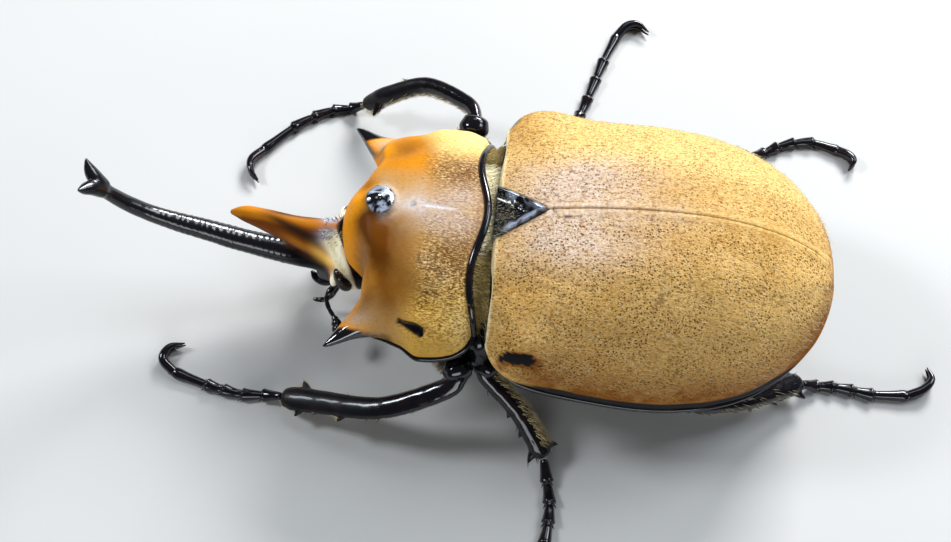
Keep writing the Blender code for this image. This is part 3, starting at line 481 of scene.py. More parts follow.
def elytron_material(settings):
    """Tan velvet over a brown shell: fine dark pits, worn patches with a painted lilac sheen, black glossy
    edges, paler straw toward the apex with painted light over the right cover, and a reddish edge darkened
    with painted shade.
    """
    material, nodes = start_material("elytron_velvet")
    along = nodes.add("ShaderNodeUVMap", {"uv_map": "Flow"})
    black, rubbed, pitted = nodes.mask("black"), nodes.mask("rubbed"), nodes.mask("pitted")
    patches = nodes.noise(6.0, 3.0)
    pile = nodes.noise(0.2, 3.0, 0.75, at=along, stretch=(0.4, 1.0, 1.0))
    strokes = nodes.noise(0.55, 3.0, 0.7, at=along, stretch=(0.45, 1.0, 1.0))
    colour = nodes.blend(nodes.ramp(patches, 0.35, 0.7), settings.tan, settings.ochre)
    # Straw: a paler tone toward the apex, and painted light over the right cover, which faces the light.
    colour = nodes.blend(nodes.mask("straw"), colour, settings.straw)
    # Warm edge: the velvet's reddish tone near the outer edge, darkened there as painted shade.
    colour = nodes.blend(nodes.mask("warm"), colour, settings.warm_shaded_edge)
    # Worn patches where the pile is rubbed, coloured with a painted lilac sheen.
    colour = nodes.blend(rubbed * nodes.ramp(strokes, 0.3, 0.7, 0.6, 1.0), colour, settings.rubbed)
    light = 1 - nodes.mask("warm") * 0.85
    colour = nodes.blend(nodes.ramp(pile, 0.52, 0.75, 0.0, 0.55) * light, colour, settings.pile_light)
    colour = nodes.blend(nodes.ramp(strokes, 0.55, 0.75, 0.0, 0.4) * light, colour, settings.pile_light)
    colour = nodes.blend(nodes.ramp(pile, 0.5, 0.3, 0.0, 0.85), colour, settings.shell_brown)
    colour = nodes.blend(nodes.ramp(strokes, 0.5, 0.3, 0.0, 0.75), colour, settings.shell_brown)
    crowded = nodes.ramp(nodes.noise(4.0, 2.0), 0.38, 0.6, 0.35, 1.0)
    pits = pit_mask(nodes, along, 0.86, 0.2) * pitted
    small_pits = pit_mask(nodes, along, 0.47, 0.125) * pitted * crowded
    colour = nodes.blend(pits * 0.9 * crowded, colour, settings.pit_brown)
    colour = nodes.blend(small_pits * 0.7, colour, settings.pit_brown)
    colour = nodes.blend(nodes.mask("lines") * 0.7, colour, settings.shell_brown)
    colour = nodes.blend(nodes.mask("pale"), colour, settings.cream)
    colour = nodes.blend(black, colour, settings.shell_black)
    normal = nodes.bump((pile * 0.7 + strokes * 0.5 - pits - small_pits * 0.5) * (1 - black * 0.9), 0.08)
    roughness = nodes.ramp(strokes, 0.3, 0.7, 0.6, 0.5) * (1 - black) + black * 0.14
    end_material(
        nodes, colour, roughness - rubbed * (1 - black) * 0.12, normal, specular_ior_level=0.07,
        coat_weight=nodes.mask("gloss"), coat_roughness=0.1)
    return material


def pit_mask(nodes, at, spacing, radius):
    """Give 1 inside small round pits that are about spacing millimetres apart."""
    return nodes.ramp(nodes.cells(spacing, at, randomness=0.85) * spacing, radius, radius * 0.45)


def hair_material(name, root, tip):
    """Hair that differs a little from strand to strand."""
    material, nodes = start_material(name)
    colour = nodes.blend(nodes.mask("shade"), root, tip)
    end_material(nodes, colour, 0.45, specular_ior_level=0.4)
    return material


def collar_material(settings):
    """Olive skin under the collar's hair, black and glossy at its bare sides."""
    material, nodes = start_material("collar_skin")
    black = nodes.mask("black")
    colour = nodes.blend(black, settings.olive, settings.shell_black)
    end_material(nodes, colour, 0.6 - black * 0.4, specular_ior_level=0.2, coat_weight=black * 0.4)
    return material


def pronotum_material(settings):
    """Amber velvet, brown and streaked toward the rear, black and glossy where it is bare, with painted shade
    in a brown band and brown patches, painted sheen and painted reflections.
    """
    material, nodes = start_material("pronotum_velvet")
    black, dotted = nodes.mask("black"), nodes.mask("dotted")
    patches = nodes.noise(5.0, 3.0)
    fine = nodes.noise(0.3, 3.0, 0.65, stretch=(0.55, 1.25, 1.0))
    streaks = nodes.noise(0.6, 2.0, 0.6, stretch=(0.6, 1.2, 1.0))
    colour = nodes.blend(nodes.ramp(patches, 0.35, 0.7), settings.pronotum_tan, settings.pronotum_sheen)
    tints = {
        "brown": settings.pronotum_shade_brown, "yellow": settings.flank_yellow, "pale": settings.pale_corner_and_lit_flank,
        "lilac": settings.lilac,
    }
    for word, tint in tints.items():
        colour = nodes.blend(nodes.mask(word), colour, tint)
    deep = nodes.blend(nodes.mask("deep"), settings.amber, settings.amber_shade)
    colour = nodes.blend(nodes.mask("amber"), colour, deep)
    # Painted shade: the brown band and its patches.
    colour = nodes.blend(nodes.mask("band"), colour, settings.shade_and_speck_brown)
    colour = nodes.blend(nodes.ramp(fine, 0.52, 0.68, 0.0, 0.65) * dotted, colour, settings.pile_light)
    strokes = nodes.ramp(fine, 0.52, 0.4) * dotted
    colour = nodes.blend(strokes * 0.9, colour, settings.stroke_brown)
    colour = nodes.blend(nodes.ramp(streaks, 0.48, 0.34) * dotted * 0.6, colour, settings.stroke_brown)
    # Fine dark specks in the same brown.
    colour = nodes.blend(nodes.ramp(fine, 0.5, 0.3) * (1 - dotted) * 0.3, colour, settings.shade_and_speck_brown)
    colour = nodes.blend(nodes.mask("halo") * nodes.ramp(fine, 0.25, 0.6, 0.35, 1.0), colour, settings.halo)
    colour = nodes.blend(black, colour, settings.shell_black)
    crust = nodes.noise(0.8, 3.0, 0.55)
    relief = (fine * 0.7 - strokes * 0.6) * (dotted * 0.8 + 0.2) * (1 - black) + crust * black
    # Glint: painted reflection, a silvery metallic colour where the mesh stores it.
    glint = nodes.mask("glint")
    colour = nodes.blend(glint, colour, settings.glint)
    roughness = nodes.ramp(fine, 0.3, 0.7, 0.5, 0.42) * (1 - black) + black * 0.1 + glint * 0.25
    end_material(
        nodes, colour, roughness, nodes.bump(relief, 0.09), metallic=glint * 0.7, specular_ior_level=0.06,
        coat_weight=nodes.mask("gloss"), coat_ior=1.7, coat_roughness=0.08)
    return material


def head_material(settings):
    """Black glossy horn with small granules, an amber root and tooth, and cream temples."""
    material, nodes = start_material("head_shell")
    black = nodes.mask("black")
    cream = nodes.mask("cream")
    grey = nodes.mask("halo")
    dark = nodes.mask("brown")
    fine = nodes.noise(0.35, 3.0, 0.6)
    colour = nodes.blend(nodes.mask("amber"), settings.amber_deep, settings.tooth_amber)
    colour = nodes.blend(dark, colour, settings.horn_brown)
    colour = nodes.blend(nodes.mask("gold"), colour, settings.gold)
    colour = nodes.blend(grey, colour, settings.blue_grey)
    colour = nodes.blend(grey * nodes.ramp(fine, 0.52, 0.36) * 0.8, colour, settings.shell_black)
    colour = nodes.blend(cream, colour, settings.cream_light)
    colour = nodes.blend(black, colour, settings.shell_black)
    normal = nodes.bump(fine, 0.03)
    roughness = nodes.ramp(fine, 0.3, 0.7, 0.5, 0.4) * (1 - black) + black * 0.2
    gloss = nodes.mask("gloss") * 0.7 + grey * 0.3
    end_material(
        nodes, colour, roughness, normal, specular_ior_level=0.06, coat_weight=gloss, coat_ior=1.65,
        coat_roughness=0.22)
    return material


def black_material(settings, name="black_shell", rough=0.09, depth=0.02):
    """Black glossy shell with a faint leathery grain and sparse punctures."""
    material, nodes = start_material(name)
    fine = nodes.noise(0.5, 4.0, 0.6)
    dents = nodes.ramp(nodes.cells(0.8), 0.22, 0.08)
    brown = nodes.ramp(nodes.noise(3.0, 2.0), 0.45, 0.75)
    colour = nodes.blend(brown * 0.35, settings.shell_black, settings.shell_maroon)
    normal = nodes.bump(fine * 0.6 - dents * 0.7, depth)
    roughness = nodes.ramp(fine, 0.3, 0.7, rough, rough + 0.1) + nodes.mask("matte") * 0.4
    # Glint: painted reflection, a silvery metallic colour where the mesh stores it.
    glint = nodes.mask("glint")
    colour = nodes.blend(glint, colour, settings.glint)
    gloss = 0.55 - nodes.mask("matte") * 0.55
    end_material(
        nodes, colour, roughness + glint * 0.2, normal, metallic=glint * 0.7, specular_ior_level=0.18,
        coat_weight=gloss, coat_roughness=0.1)
    return material


def underside_material(settings):
    """Maroon-black satin shell of the body's underside."""
    material, nodes = start_material("underside_shell")
    fine = nodes.noise(0.4, 4.0, 0.6)
    dents = nodes.ramp(nodes.cells(0.9), 0.3, 0.1)
    colour = nodes.blend(nodes.ramp(fine, 0.4, 0.7), settings.shell_maroon, settings.shell_black)
    normal = nodes.bump(fine * 0.5 - dents, 0.05)
    end_material(nodes, colour, nodes.ramp(fine, 0.3, 0.7, 0.24, 0.36), normal)
    return material


def eye_material(settings):
    """Dark brown glossy eye with fine facets."""
    material, nodes = start_material("eye_facets")
    facets = nodes.cells(0.16, randomness=0.25)
    colour = nodes.blend(nodes.ramp(nodes.noise(1.5), 0.3, 0.7), settings.eye_brown, settings.shell_black)
    end_material(nodes, colour, 0.16, nodes.bump(1 - facets, 0.012))
    return material


def curve(points):
    """Give a smooth function through (place, value) points, without overshoot."""
    places, values = np.array(points, float).T
    rises = np.diff(values) / np.diff(places)
    before, after = rises[:-1], rises[1:]
    total = np.where(before * after > 0, before + after, 1.0)
    inner = np.where(before * after > 0, 2 * before * after / total, 0.0)
    slopes = np.concatenate([rises[:1], inner, rises[-1:]])

    def read(at):
        at = np.clip(at, places[0], places[-1])
        index = np.clip(np.searchsorted(places, at, side="right") - 1, 0, len(places) - 2)
        step = places[index + 1] - places[index]
        t = (at - places[index]) / step
        rise = values[index + 1] - values[index]
        bend_in, bend_out = slopes[index] * step, slopes[index + 1] * step
        square = t * t * (3 * rise - 2 * bend_in - bend_out)
        return values[index] + t * bend_in + square + t**3 * (bend_in + bend_out - 2 * rise)

    return read


def glide(points, at):
    """Give places on a smooth curve through points, where at counts points from the first."""
    rows = np.array(points, float)
    rows = np.vstack([2 * rows[0] - rows[1], rows, 2 * rows[-1] - rows[-2]])
    at = np.atleast_1d(np.asarray(at, float))
    index = np.clip(at.astype(int), 0, len(rows) - 4)
    t = (at - index)[:, None]
    a, b, c, d = rows[index], rows[index + 1], rows[index + 2], rows[index + 3]
    return 0.5 * (2 * b + (c - a) * t + (2 * a - 5 * b + 4 * c - d) * t * t + (3 * b - a - 3 * c + d) * t**3)


def ease(value, low, high):
    """Ease from 0 to 1 as a value goes from low to high."""
    t = np.clip((value - low) / (high - low), 0.0, 1.0)
    return t * t * (3 - 2 * t)


def bell(distance, reach):
    """Give a round hump of height 1 that dies away at about twice its reach."""
    return np.exp(-(distance / reach)**2)


def hump(x, y, place, reach):
    """Give a round hump of height 1 at a place in plan, with a reach along and across."""
    return np.exp(-((x - place[0]) / reach[0])**2 - ((y - place[1]) / reach[1])**2)


def grain(points, size, seed=0):
    """Give a smooth random height between -1 and 1, with lumps about size millimetres wide."""
    spot = points / size
    cell = np.floor(spot).astype(np.int64)
    t = spot - cell
    t = t * t * (3 - 2 * t)
    total = np.zeros(len(points))
    for corner in np.ndindex(2, 2, 2):
        weight = np.prod(np.where(corner, t, 1 - t), axis=1)
        total += weight * scatter(cell + np.array(corner), seed)
    return total


def scatter(cell, seed):
    """Give one random number between -1 and 1 for each cell of a lattice."""
    mixed = cell[:, 0] * 374761393 + cell[:, 1] * 668265263 + cell[:, 2] * 2147483647 + seed * 974634777
    mixed = (mixed ^ (mixed >> 13)) * 1274126177
    return ((mixed ^ (mixed >> 16)) & 0xFFFF) / 32767.5 - 1.0


def superellipse(angle, power):
    """Give the two unit coordinates of a superellipse at angles."""
    across, up = np.cos(angle), np.sin(angle)
    return np.sign(across) * np.abs(across)**(2 / power), np.sign(up) * np.abs(up)**(2 / power)


def elytra_half_width(x):
    """Half width over both wing covers at their lower edge."""
    front = np.clip((WIDEST_X - x) / (WIDEST_X - SHOULDER_START), 0, 1)**SHOULDER_POWER
    rear = np.clip((x - WIDEST_X) / (APEX_X - WIDEST_X), 0, 1)**APEX_POWER
    return ELYTRA_HALF_WIDTH * np.sqrt(np.maximum(0.0, 1 - front - rear))


def elytra_edge(x):
    """Height of the wing covers' lower edge."""
    front = EDGE_FRONT_RISE * (np.maximum(EDGE_LOW_X - x, 0) / EDGE_LOW_X)**2
    rear = EDGE_REAR_RISE * (np.maximum(x - EDGE_LOW_X, 0) / (APEX_X - EDGE_LOW_X))**4
    return EDGE_LOW_Z + front + rear


def elytra_top(x):
    """Height of the wing covers along their seam."""
    front = CREST_Z - FRONT_DROP * (np.maximum(CREST_X - x, 0) / CREST_X)**2
    reach = np.clip((x - CREST_X) / (APEX_X - CREST_X), 0, 1)
    base = elytra_edge(x)
    rear = base + (CREST_Z - base) * np.maximum(0.0, 1 - reach**CREST_POWER)**0.5
    return np.where(x < CREST_X, front, rear)


def arch_height(x, y):
    """Height of the wing covers' outer face at a place."""
    across = np.clip(np.abs(y) / np.maximum(elytra_half_width(x), 0.01), 0, 1)
    edge = elytra_edge(x)
    return edge + (elytra_top(x) - edge) * (1 - across**ARCH_POWER)**(1 / ARCH_POWER)


def scutellum_half_width(x):
    """Half width of the scutellum, which tapers to its tip."""
    share = np.clip((SCUTELLUM_TIP - x) / (SCUTELLUM_TIP - SCUTELLUM_FRONT), 0, 1)
    return SCUTELLUM_HALF_WIDTH * share**SCUTELLUM_TAPER


def pronotum_top(x):
    """Height of the pronotum's midline, with its steep front."""
    rear = PRONOTUM_TOP - PRONOTUM_REAR_DROP * (np.maximum(x - PRONOTUM_TOP_X, 0) / -PRONOTUM_TOP_X)**2
    reach = np.clip((PRONOTUM_TOP_X - x) / (PRONOTUM_TOP_X - PRONOTUM_NOSE), 0, 1)
    front = NOSE_Z + (PRONOTUM_TOP - NOSE_Z) * np.maximum(0.02, 1 - reach**NOSE_POWER)**(1 / CREST_POWER)
    return np.where(x > PRONOTUM_TOP_X, rear, front)


def rear_lobe(x, y):
    """Shift of the pronotum's rear edge, which is drawn in beside its middle lobe."""
    near_rear = np.maximum(0.0, 1 + x / REAR_LOBE_REACH)
    return -REAR_LOBE / 2 * (1 - np.cos(2 * math.pi * np.abs(y) / REAR_LOBE_PITCH)) * near_rear


def loft(rings):
    """Close rings (rows x sides x 3) into points and faces, with a fan at each end."""
    rows, sides = rings.shape[:2]
    points = np.vstack([rings.reshape(-1, 3), rings[0].mean(axis=0), rings[-1].mean(axis=0)])
    row, side = np.meshgrid(np.arange(rows - 1), np.arange(sides), indexing="ij")
    here = row * sides + side
    beside = row * sides + (side + 1) % sides
    faces = np.stack([here, beside, beside + sides, here + sides], axis=-1).reshape(-1, 4).tolist()
    last = (rows - 1) * sides
    for index in range(sides):
        following = (index + 1) % sides
        faces.append([rows * sides, following, index])
        faces.append([rows * sides + 1, last + index, last + following])
    return points, faces


def sheet(outer, inner):
    """Close two like grids (rows x columns x 3) into a sheet with a wall between them."""
    rows, columns = outer.shape[:2]
    count = rows * columns
    points = np.vstack([outer.reshape(-1, 3), inner.reshape(-1, 3)])
    row, column = np.meshgrid(np.arange(rows - 1), np.arange(columns - 1), indexing="ij")
    here = (row * columns + column).reshape(-1)
    quads = np.stack([here, here + columns, here + columns + 1, here + 1], axis=-1)
    faces = np.vstack([quads, quads[:, ::-1] + count]).tolist()
    rim = list(range(columns))
    rim += [row * columns + columns - 1 for row in range(1, rows)]
    rim += [(rows - 1) * columns + column for column in range(columns - 2, -1, -1)]
    rim += [row * columns for row in range(rows - 2, 0, -1)]
    for near, far in zip(rim, rim[1:] + rim[:1]):
        faces.append([near, far, far + count, near + count])
    return points, faces


def ways_along(line):
    """Give the heading at each point of a line and the level way beside it."""
    headings = np.gradient(line, axis=0)
    headings /= np.linalg.norm(headings, axis=1)[:, None]
    aside = np.cross((0.0, 0.0, 1.0), headings)
    return headings, aside / np.linalg.norm(aside, axis=1)[:, None]


def limb_rings(stations, rows, sides, section=None, reach=0.55):
    """Give rings round a smooth path of stations (x, y, z, half width, half height), with round ends."""
    path = glide(stations, np.linspace(0, len(stations) - 1, rows))
    turns = np.radians((80.0, 62.0, 42.0, 21.0))
    caps = []
    for end, inner in ((path[0], path[1]), (path[-1], path[-2])):
        heading = (end[:3] - inner[:3]) / np.linalg.norm(end[:3] - inner[:3])
        out = end[:3] + heading * end[3:].min() * reach * np.sin(turns)[:, None]
        caps.append(np.hstack([out, end[3:] * np.cos(turns)[:, None]]))
    path = np.vstack([caps[0], path, caps[1][::-1]])
    headings, aside = ways_along(path[:, :3])
    above = np.cross(headings, aside)
    turn = 2 * math.pi * np.arange(sides) / sides
    share = np.linspace(0, 1, len(path))
    swell = np.ones((len(path), sides)) if section is None else section(share[:, None], turn[None, :])
    wide = path[:, 3, None] * np.cos(turn) * swell
    high = path[:, 4, None] * np.sin(turn) * swell
    return path[:, None, :3] + aside[:, None] * wide[..., None] + above[:, None] * high[..., None]


def barrel(half_width, edge, top, low, powers, half, low_width=None):
    """Give y and z of rings with one arch above an edge and one below it, as round as their powers say."""
    low_width = half_width if low_width is None else low_width
    angles = np.linspace(0, math.pi, half + 1)
    across, up = superellipse(angles, powers[0])
    across_below, down = superellipse(angles[1:-1], powers[1])
    y = np.hstack([half_width * across, -low_width * across_below])
    z = np.hstack([edge + (top - edge) * up, edge - (edge - low) * down])
    return y, z


def ball(place, radii, rows=24, sides=36):
    """Give the points and faces of an ellipsoid."""
    tilt = np.linspace(-math.pi / 2, math.pi / 2, rows + 2)[1:-1]
    turn = 2 * math.pi * np.arange(sides) / sides
    x = np.sin(tilt)[:, None] * np.ones(sides)
    y = np.cos(tilt)[:, None] * np.cos(turn)
    z = np.cos(tilt)[:, None] * np.sin(turn)
    rings = np.stack([x, y, z], axis=-1) * np.array(radii) + np.array(place)
    return loft(rings)


def mirrored(points, side):
    """Give points on the beetle's right (side 1) or, mirrored, on its left (side -1)."""
    return [(point[0], point[1] * side, *point[2:]) for point in points]


def round_stations(points):
    """Give points with one radius as stations with a half width and a half height."""
    return [(x, y, z, radius, radius) for x, y, z, radius in points]


def join(*shapes):
    """Put several shapes of points and faces in one."""
    points, faces, count = [], [], 0
    for shape_points, shape_faces in shapes:
        points.append(shape_points)
        faces.extend([[corner + count for corner in face] for face in shape_faces])
        count += len(shape_points)
    return np.vstack(points), faces


def new_mesh(name, shape):
    """Make a mesh of points and faces, with every closed part facing outwards."""
    mesh = bpy.data.meshes.new(name)
    mesh.from_pydata(shape[0].tolist(), [], shape[1])
    work = bmesh.new()
    work.from_mesh(mesh)
    bmesh.ops.remove_doubles(work, verts=work.verts, dist=0.00001)
    bmesh.ops.recalc_face_normals(work, faces=work.faces)
    work.to_mesh(mesh)
    work.free()
    return mesh


def new_object(name, data):
    """Put an object of a mesh, a light or a camera in the scene."""
    thing = bpy.data.objects.new(name, data)
    bpy.context.scene.collection.objects.link(thing)
    return thing


def melt(name, shape, voxel):
    """Melt overlapping closed parts into one skin with an even net of faces."""
    thing = new_object(name, new_mesh(name, shape))
    remesh = thing.modifiers.new("melt", "REMESH")
    remesh.mode = "VOXEL"
    remesh.voxel_size = voxel
    mesh = evaluated_mesh(thing)
    bpy.data.objects.remove(thing, do_unlink=True)
    return mesh


def evaluated_mesh(thing):
    """Give the mesh of an object with its modifiers applied."""
    bpy.context.view_layer.update()
    return bpy.data.meshes.new_from_object(thing.evaluated_get(bpy.context.evaluated_depsgraph_get()))


def rows_of(items, word, width=3, kind=np.float64):
    """Read one property of a mesh's points, edges or corners as rows of numbers."""
    flat = np.empty(len(items) * width, kind)
    items.foreach_get(word, flat)
    return flat.reshape(-1, width)


def points_of(mesh):
    """Read a mesh's points."""
    return rows_of(mesh.vertices, "co")


def normals_of(mesh):
    """Read the normals of a mesh's points."""
    return rows_of(mesh.vertex_normals, "vector")


def corners_of(mesh):
    """Read which point each corner of a mesh's faces is at."""
    return rows_of(mesh.loops, "vertex_index", 1, np.int64)[:, 0]


def set_points(mesh, points):
    """Move a mesh's points."""
    mesh.vertices.foreach_set("co", points.ravel())
    mesh.update()


def push(mesh, heights):
    """Move each point of a mesh along its normal."""
    set_points(mesh, points_of(mesh) + normals_of(mesh) * heights[:, None])


def relax(mesh, weights, rounds):
    """Smooth a mesh, more where its weights are near 1."""
    first, second = rows_of(mesh.edges, "vertices", 2, np.int64).T
    count = len(mesh.vertices)
    degree = np.bincount(first, minlength=count) + np.bincount(second, minlength=count)
    points = points_of(mesh)
    share = (np.ones(count) * weights)[:, None] * 0.5
    for _ in range(rounds):
        total = np.empty_like(points)
        for axis in range(3):
            total[:, axis] = np.bincount(first, points[second, axis], count)
            total[:, axis] += np.bincount(second, points[first, axis], count)
        points += (total / degree[:, None] - points) * share
    set_points(mesh, points)


def add_mask(mesh, name, values):
    """Store a number between 0 and 1 on each point of a mesh for its material."""
    whole = np.clip(values, 0.0, 1.0) * np.ones(len(mesh.vertices))
    mesh.attributes.new(name, "FLOAT", "POINT").data.foreach_set("value", whole.astype(np.float32))


def add_vectors(mesh, name, vectors):
    """Store a vector on each point of a mesh."""
    whole = (vectors * np.ones((len(mesh.vertices), 3))).astype(np.float32)
    mesh.attributes.new(name, "FLOAT_VECTOR", "POINT").data.foreach_set("vector", whole.ravel())


def finish(mesh, name, material, slot, *replaced):
    """Turn a mesh into a piece of the beetle in the row frame, in place of solids."""
    set_points(mesh, (points_of(mesh) + ORIGIN) * MM)
    mesh.shade_smooth()
    mesh.materials.clear()
    mesh.materials.append(material)
    mesh.name = name
    piece = new_object(name, mesh)
    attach(piece, BODY)
    if replaced:
        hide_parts(*replaced)
    return piece


def new_tree(name, inputs):
    """Make a Geometry Nodes tree with a geometry in and out and other named inputs."""
    tree = bpy.data.node_groups.new(name, "GeometryNodeTree")
    tree.interface.new_socket("Shape", in_out="INPUT", socket_type="NodeSocketGeometry")
    for word, kind in inputs:
        tree.interface.new_socket(word, in_out="INPUT", socket_type="NodeSocket" + kind)
    tree.interface.new_socket("Made", in_out="OUTPUT", socket_type="NodeSocketGeometry")
    return tree, Nodes(tree)


def end_tree(nodes, made, material):
    """End a Geometry Nodes tree with real faces and a material."""
    real = nodes.add("GeometryNodeRealizeInstances", None, {"Geometry": made})
    finished = nodes.add("GeometryNodeSetMaterial", None, {"Geometry": real, "Material": material})
    output = nodes.tree.nodes.new("NodeGroupOutput")
    nodes.tree.links.new(finished.socket, output.inputs["Made"])


def run_tree(tree, mesh, values):
    """Run a Geometry Nodes tree on a mesh with named values, and give the mesh that it makes."""
    thing = new_object("source", mesh)
    modifier = thing.modifiers.new("grow", "NODES")
    modifier.node_group = tree
    for item in tree.interface.items_tree:
        if item.name in values:
            modifier[item.identifier] = values[item.name]
    made = evaluated_mesh(thing)
    bpy.data.objects.remove(thing, do_unlink=True)
    return made


def bead_tree():
    """Build the tree that turns lines into round beads as thick as their points say."""
    tree, nodes = new_tree("bead", (("Sides", "Int"), ("Finish", "Material")))
    given = nodes.given()
    line = nodes.add("GeometryNodeMeshToCurve", None, {"Mesh": given["Shape"]})
    round_line = {"Resolution": given["Sides"], "Radius": 1.0}
    circle = nodes.add("GeometryNodeCurvePrimitiveCircle", None, round_line)
    along = {"Curve": line, "Profile Curve": circle, "Scale": nodes.stored("thickness"), "Fill Caps": True}
    end_tree(nodes, nodes.add("GeometryNodeCurveToMesh", None, along), given["Finish"])
    return tree


def hair_tree():
    """Build the tree that grows hairs on a skin: dense where its mask says, leaning the way it stores."""
    inputs = (("Density", "Float"), ("Length", "Float"), ("Rise", "Float"), ("Stray", "Float"),
              ("Seed", "Int"), ("Strand", "Object"), ("Finish", "Material"))
    tree, nodes = new_tree("hair", inputs)
    given = nodes.given()
    seed = given["Seed"]
    spread = {"Mesh": given["Shape"], "Density": given["Density"] * nodes.stored("growth"), "Seed": seed}
    points = nodes.add("GeometryNodeDistributePointsOnFaces", None, spread, "Points")
    normal, lie = points.beside("Normal"), nodes.stored("lie", "FLOAT_VECTOR")
    any_way = {0: (-1, -1, -1), 8: seed + 3}
    stray = nodes.add("FunctionNodeRandomValue", {"data_type": "FLOAT_VECTOR"}, any_way)
    heading = nodes.vector("ADD", nodes.vector("SCALE", normal, given["Rise"]), lie)
    heading = nodes.vector("ADD", heading, nodes.vector("SCALE", stray, given["Stray"]))
    turn = nodes.add("FunctionNodeAlignRotationToVector", {"axis": "Z"}, {"Vector": heading})
    axes = {"axis": "X", "pivot_axis": "Z"}
    turn = nodes.add("FunctionNodeAlignRotationToVector", axes, {"Rotation": turn, "Vector": lie})
    shade = {"Geometry": points, "Name": "shade", "Value": nodes.random(0.0, 1.0, seed + 5)}
    points = nodes.add("GeometryNodeStoreNamedAttribute", {"data_type": "FLOAT", "domain": "POINT"}, shade)
    strand = nodes.add(
        "GeometryNodeObjectInfo", {"transform_space": "ORIGINAL"}, {"Object": given["Strand"]}, "Geometry")
    size = given["Length"] * nodes.random(0.6, 1.15, seed + 9)
    hairs = {"Points": points, "Instance": strand, "Rotation": turn, "Scale": size}
    end_tree(nodes, nodes.add("GeometryNodeInstanceOnPoints", None, hairs), given["Finish"])
    return tree


def strand_object(thick, bend, levels):
    """Make one three-sided hair of length 1 that bends toward its own X and ends in a point."""
    points, faces = [], [(2, 1, 0)]
    for level in range(levels):
        share = level / levels
        radius = thick * (1 - share**1.5)
        for side in range(3):
            turn = side * 2 * math.pi / 3
            points.append((bend * share**2 + radius * math.cos(turn), radius * math.sin(turn), share))
    points.append((bend, 0.0, 1.0))
    for level in range(levels - 1):
        for side in range(3):
            near, far = level * 3 + side, level * 3 + (side + 1) % 3
            faces.append((near, far, far + 3, near + 3))
    last = (levels - 1) * 3
    for side in range(3):
        faces.append((last + side, last + (side + 1) % 3, last + 3))
    mesh = bpy.data.meshes.new("strand")
    mesh.from_pydata(points, [], faces)
    add_vectors(mesh, "own", np.array([((math.atan2(y, x) / math.pi + 1) / 2, z, 0.0) for x, y, z in points]))
    strand = new_object("strand", mesh)
    strand.hide_render = True
    return strand


SHARED = {}


def shared(word, make, *given):
    """Give the one material or tree of a name, made the first time it is asked for."""
    if word not in SHARED:
        SHARED[word] = make(*given)
    return SHARED[word]


def grow_hair(skin, kind, growth, lie, slot, settings, name=None):
    """Grow hairs on a copy of a skin and finish them as a piece of their own."""
    base = skin.copy()
    add_mask(base, "growth", growth)
    add_vectors(base, "lie", lie)
    add_vectors(base, "unwrap", unwrapped(base))
    values = dict(zip(HAIR_WORDS, HAIRS[kind]))
    colours = (getattr(settings, word) for word in HAIR_COLOURS[values["colour"]])
    material = shared(values["colour"], hair_material, values["colour"], *colours)
    strand = strand_object(values["thick"], values["bend"], values["levels"])
    values.update({"Strand": strand, "Finish": material})
    made = run_tree(shared("hair tree", hair_tree), base, values)
    bpy.data.objects.remove(strand, do_unlink=True)
    map_tufts(made)
    return finish(made, name or kind, material, slot)


def unwrapped(mesh):
    """Give an unwrap of a skin: along its length and round it."""
    points = points_of(mesh)
    low, high = points.min(axis=0), points.max(axis=0)
    middle = (low + high) / 2
    round_about = np.arctan2(points[:, 1] - middle[1], points[:, 2] - middle[2]) / (2 * math.pi) + 0.5
    along = (points[:, 0] - low[0]) / (high[0] - low[0])
    return np.stack([along, round_about, np.zeros(len(points))], axis=-1)


def map_tufts(mesh):
    """Give each hair a small patch of the map OFBake at its root's place on the skin's unwrap."""
    corners = corners_of(mesh)
    root, own = (rows_of(mesh.attributes[name].data, "vector", 3, np.float32)[corners, :2]
                 for name in ("unwrap", "own"))
    layer = mesh.uv_layers.new(name="OFBake")
    layer.data.foreach_set("uv", (root * (1 - TUFT_PATCH) + own * TUFT_PATCH).ravel())
    for name in ("unwrap", "own", "lie", "growth"):
        mesh.attributes.remove(mesh.attributes[name])


def make_beads(lines, name, material, slot, sides=12):
    """Make round beads along lines of (x, y, z, radius) rows as one piece."""
    points, edges, radii = [], [], []
    for line in lines:
        start = len(points)
        points.extend(line[:, :3].tolist())
        radii.extend(line[:, 3].tolist())
        edges.extend((start + index, start + index + 1) for index in range(len(line) - 1))
    mesh = bpy.data.meshes.new(name)
    mesh.from_pydata(points, edges, [])
    add_mask(mesh, "thickness", np.array(radii))
    made = run_tree(shared("bead tree", bead_tree), mesh, {"Sides": sides, "Finish": material})
    return finish(made, name, material, slot)


def elytron_grid(side, rows, columns):
    """Give the places, outward directions and lengths along the arch of one wing cover's outer face."""
    share = np.linspace(0, 1, rows)
    x = ELYTRA_FRONT + (APEX_X - 0.02 - ELYTRA_FRONT) * (1 - (1 - share)**1.55)
    half_width = elytra_half_width(x)
    seam = np.where(x < SCUTELLUM_TIP, scutellum_half_width(x) + SEAM_GAP, SEAM_GAP)
    start = np.arcsin(np.minimum((seam / half_width)**(ARCH_POWER / 2), 1.0))
    angle = start[:, None] + (math.pi / 2 - start)[:, None] * np.linspace(0, 1, columns)[None, :]
    up, across = superellipse(angle, ARCH_POWER)
    edge, top = elytra_edge(x)[:, None], elytra_top(x)[:, None]
    y = side * half_width[:, None] * across
    grid = np.stack([x[:, None] * np.ones(columns), y, edge + (top - edge) * up], axis=-1)
    steps = np.linalg.norm(np.diff(grid, axis=1), axis=2)
    arc = np.hstack([np.zeros((rows, 1)), np.cumsum(steps, axis=1)]) + seam[:, None]
    return grid, grid_normals(grid, side), arc


def grid_normals(grid, side):
    """Give the outward direction at each place of a grid that bends over the back."""
    out = np.cross(np.gradient(grid, axis=1), np.gradient(grid, axis=0)) * -side
    return out / np.maximum(np.linalg.norm(out, axis=2, keepdims=True), 1e-9)


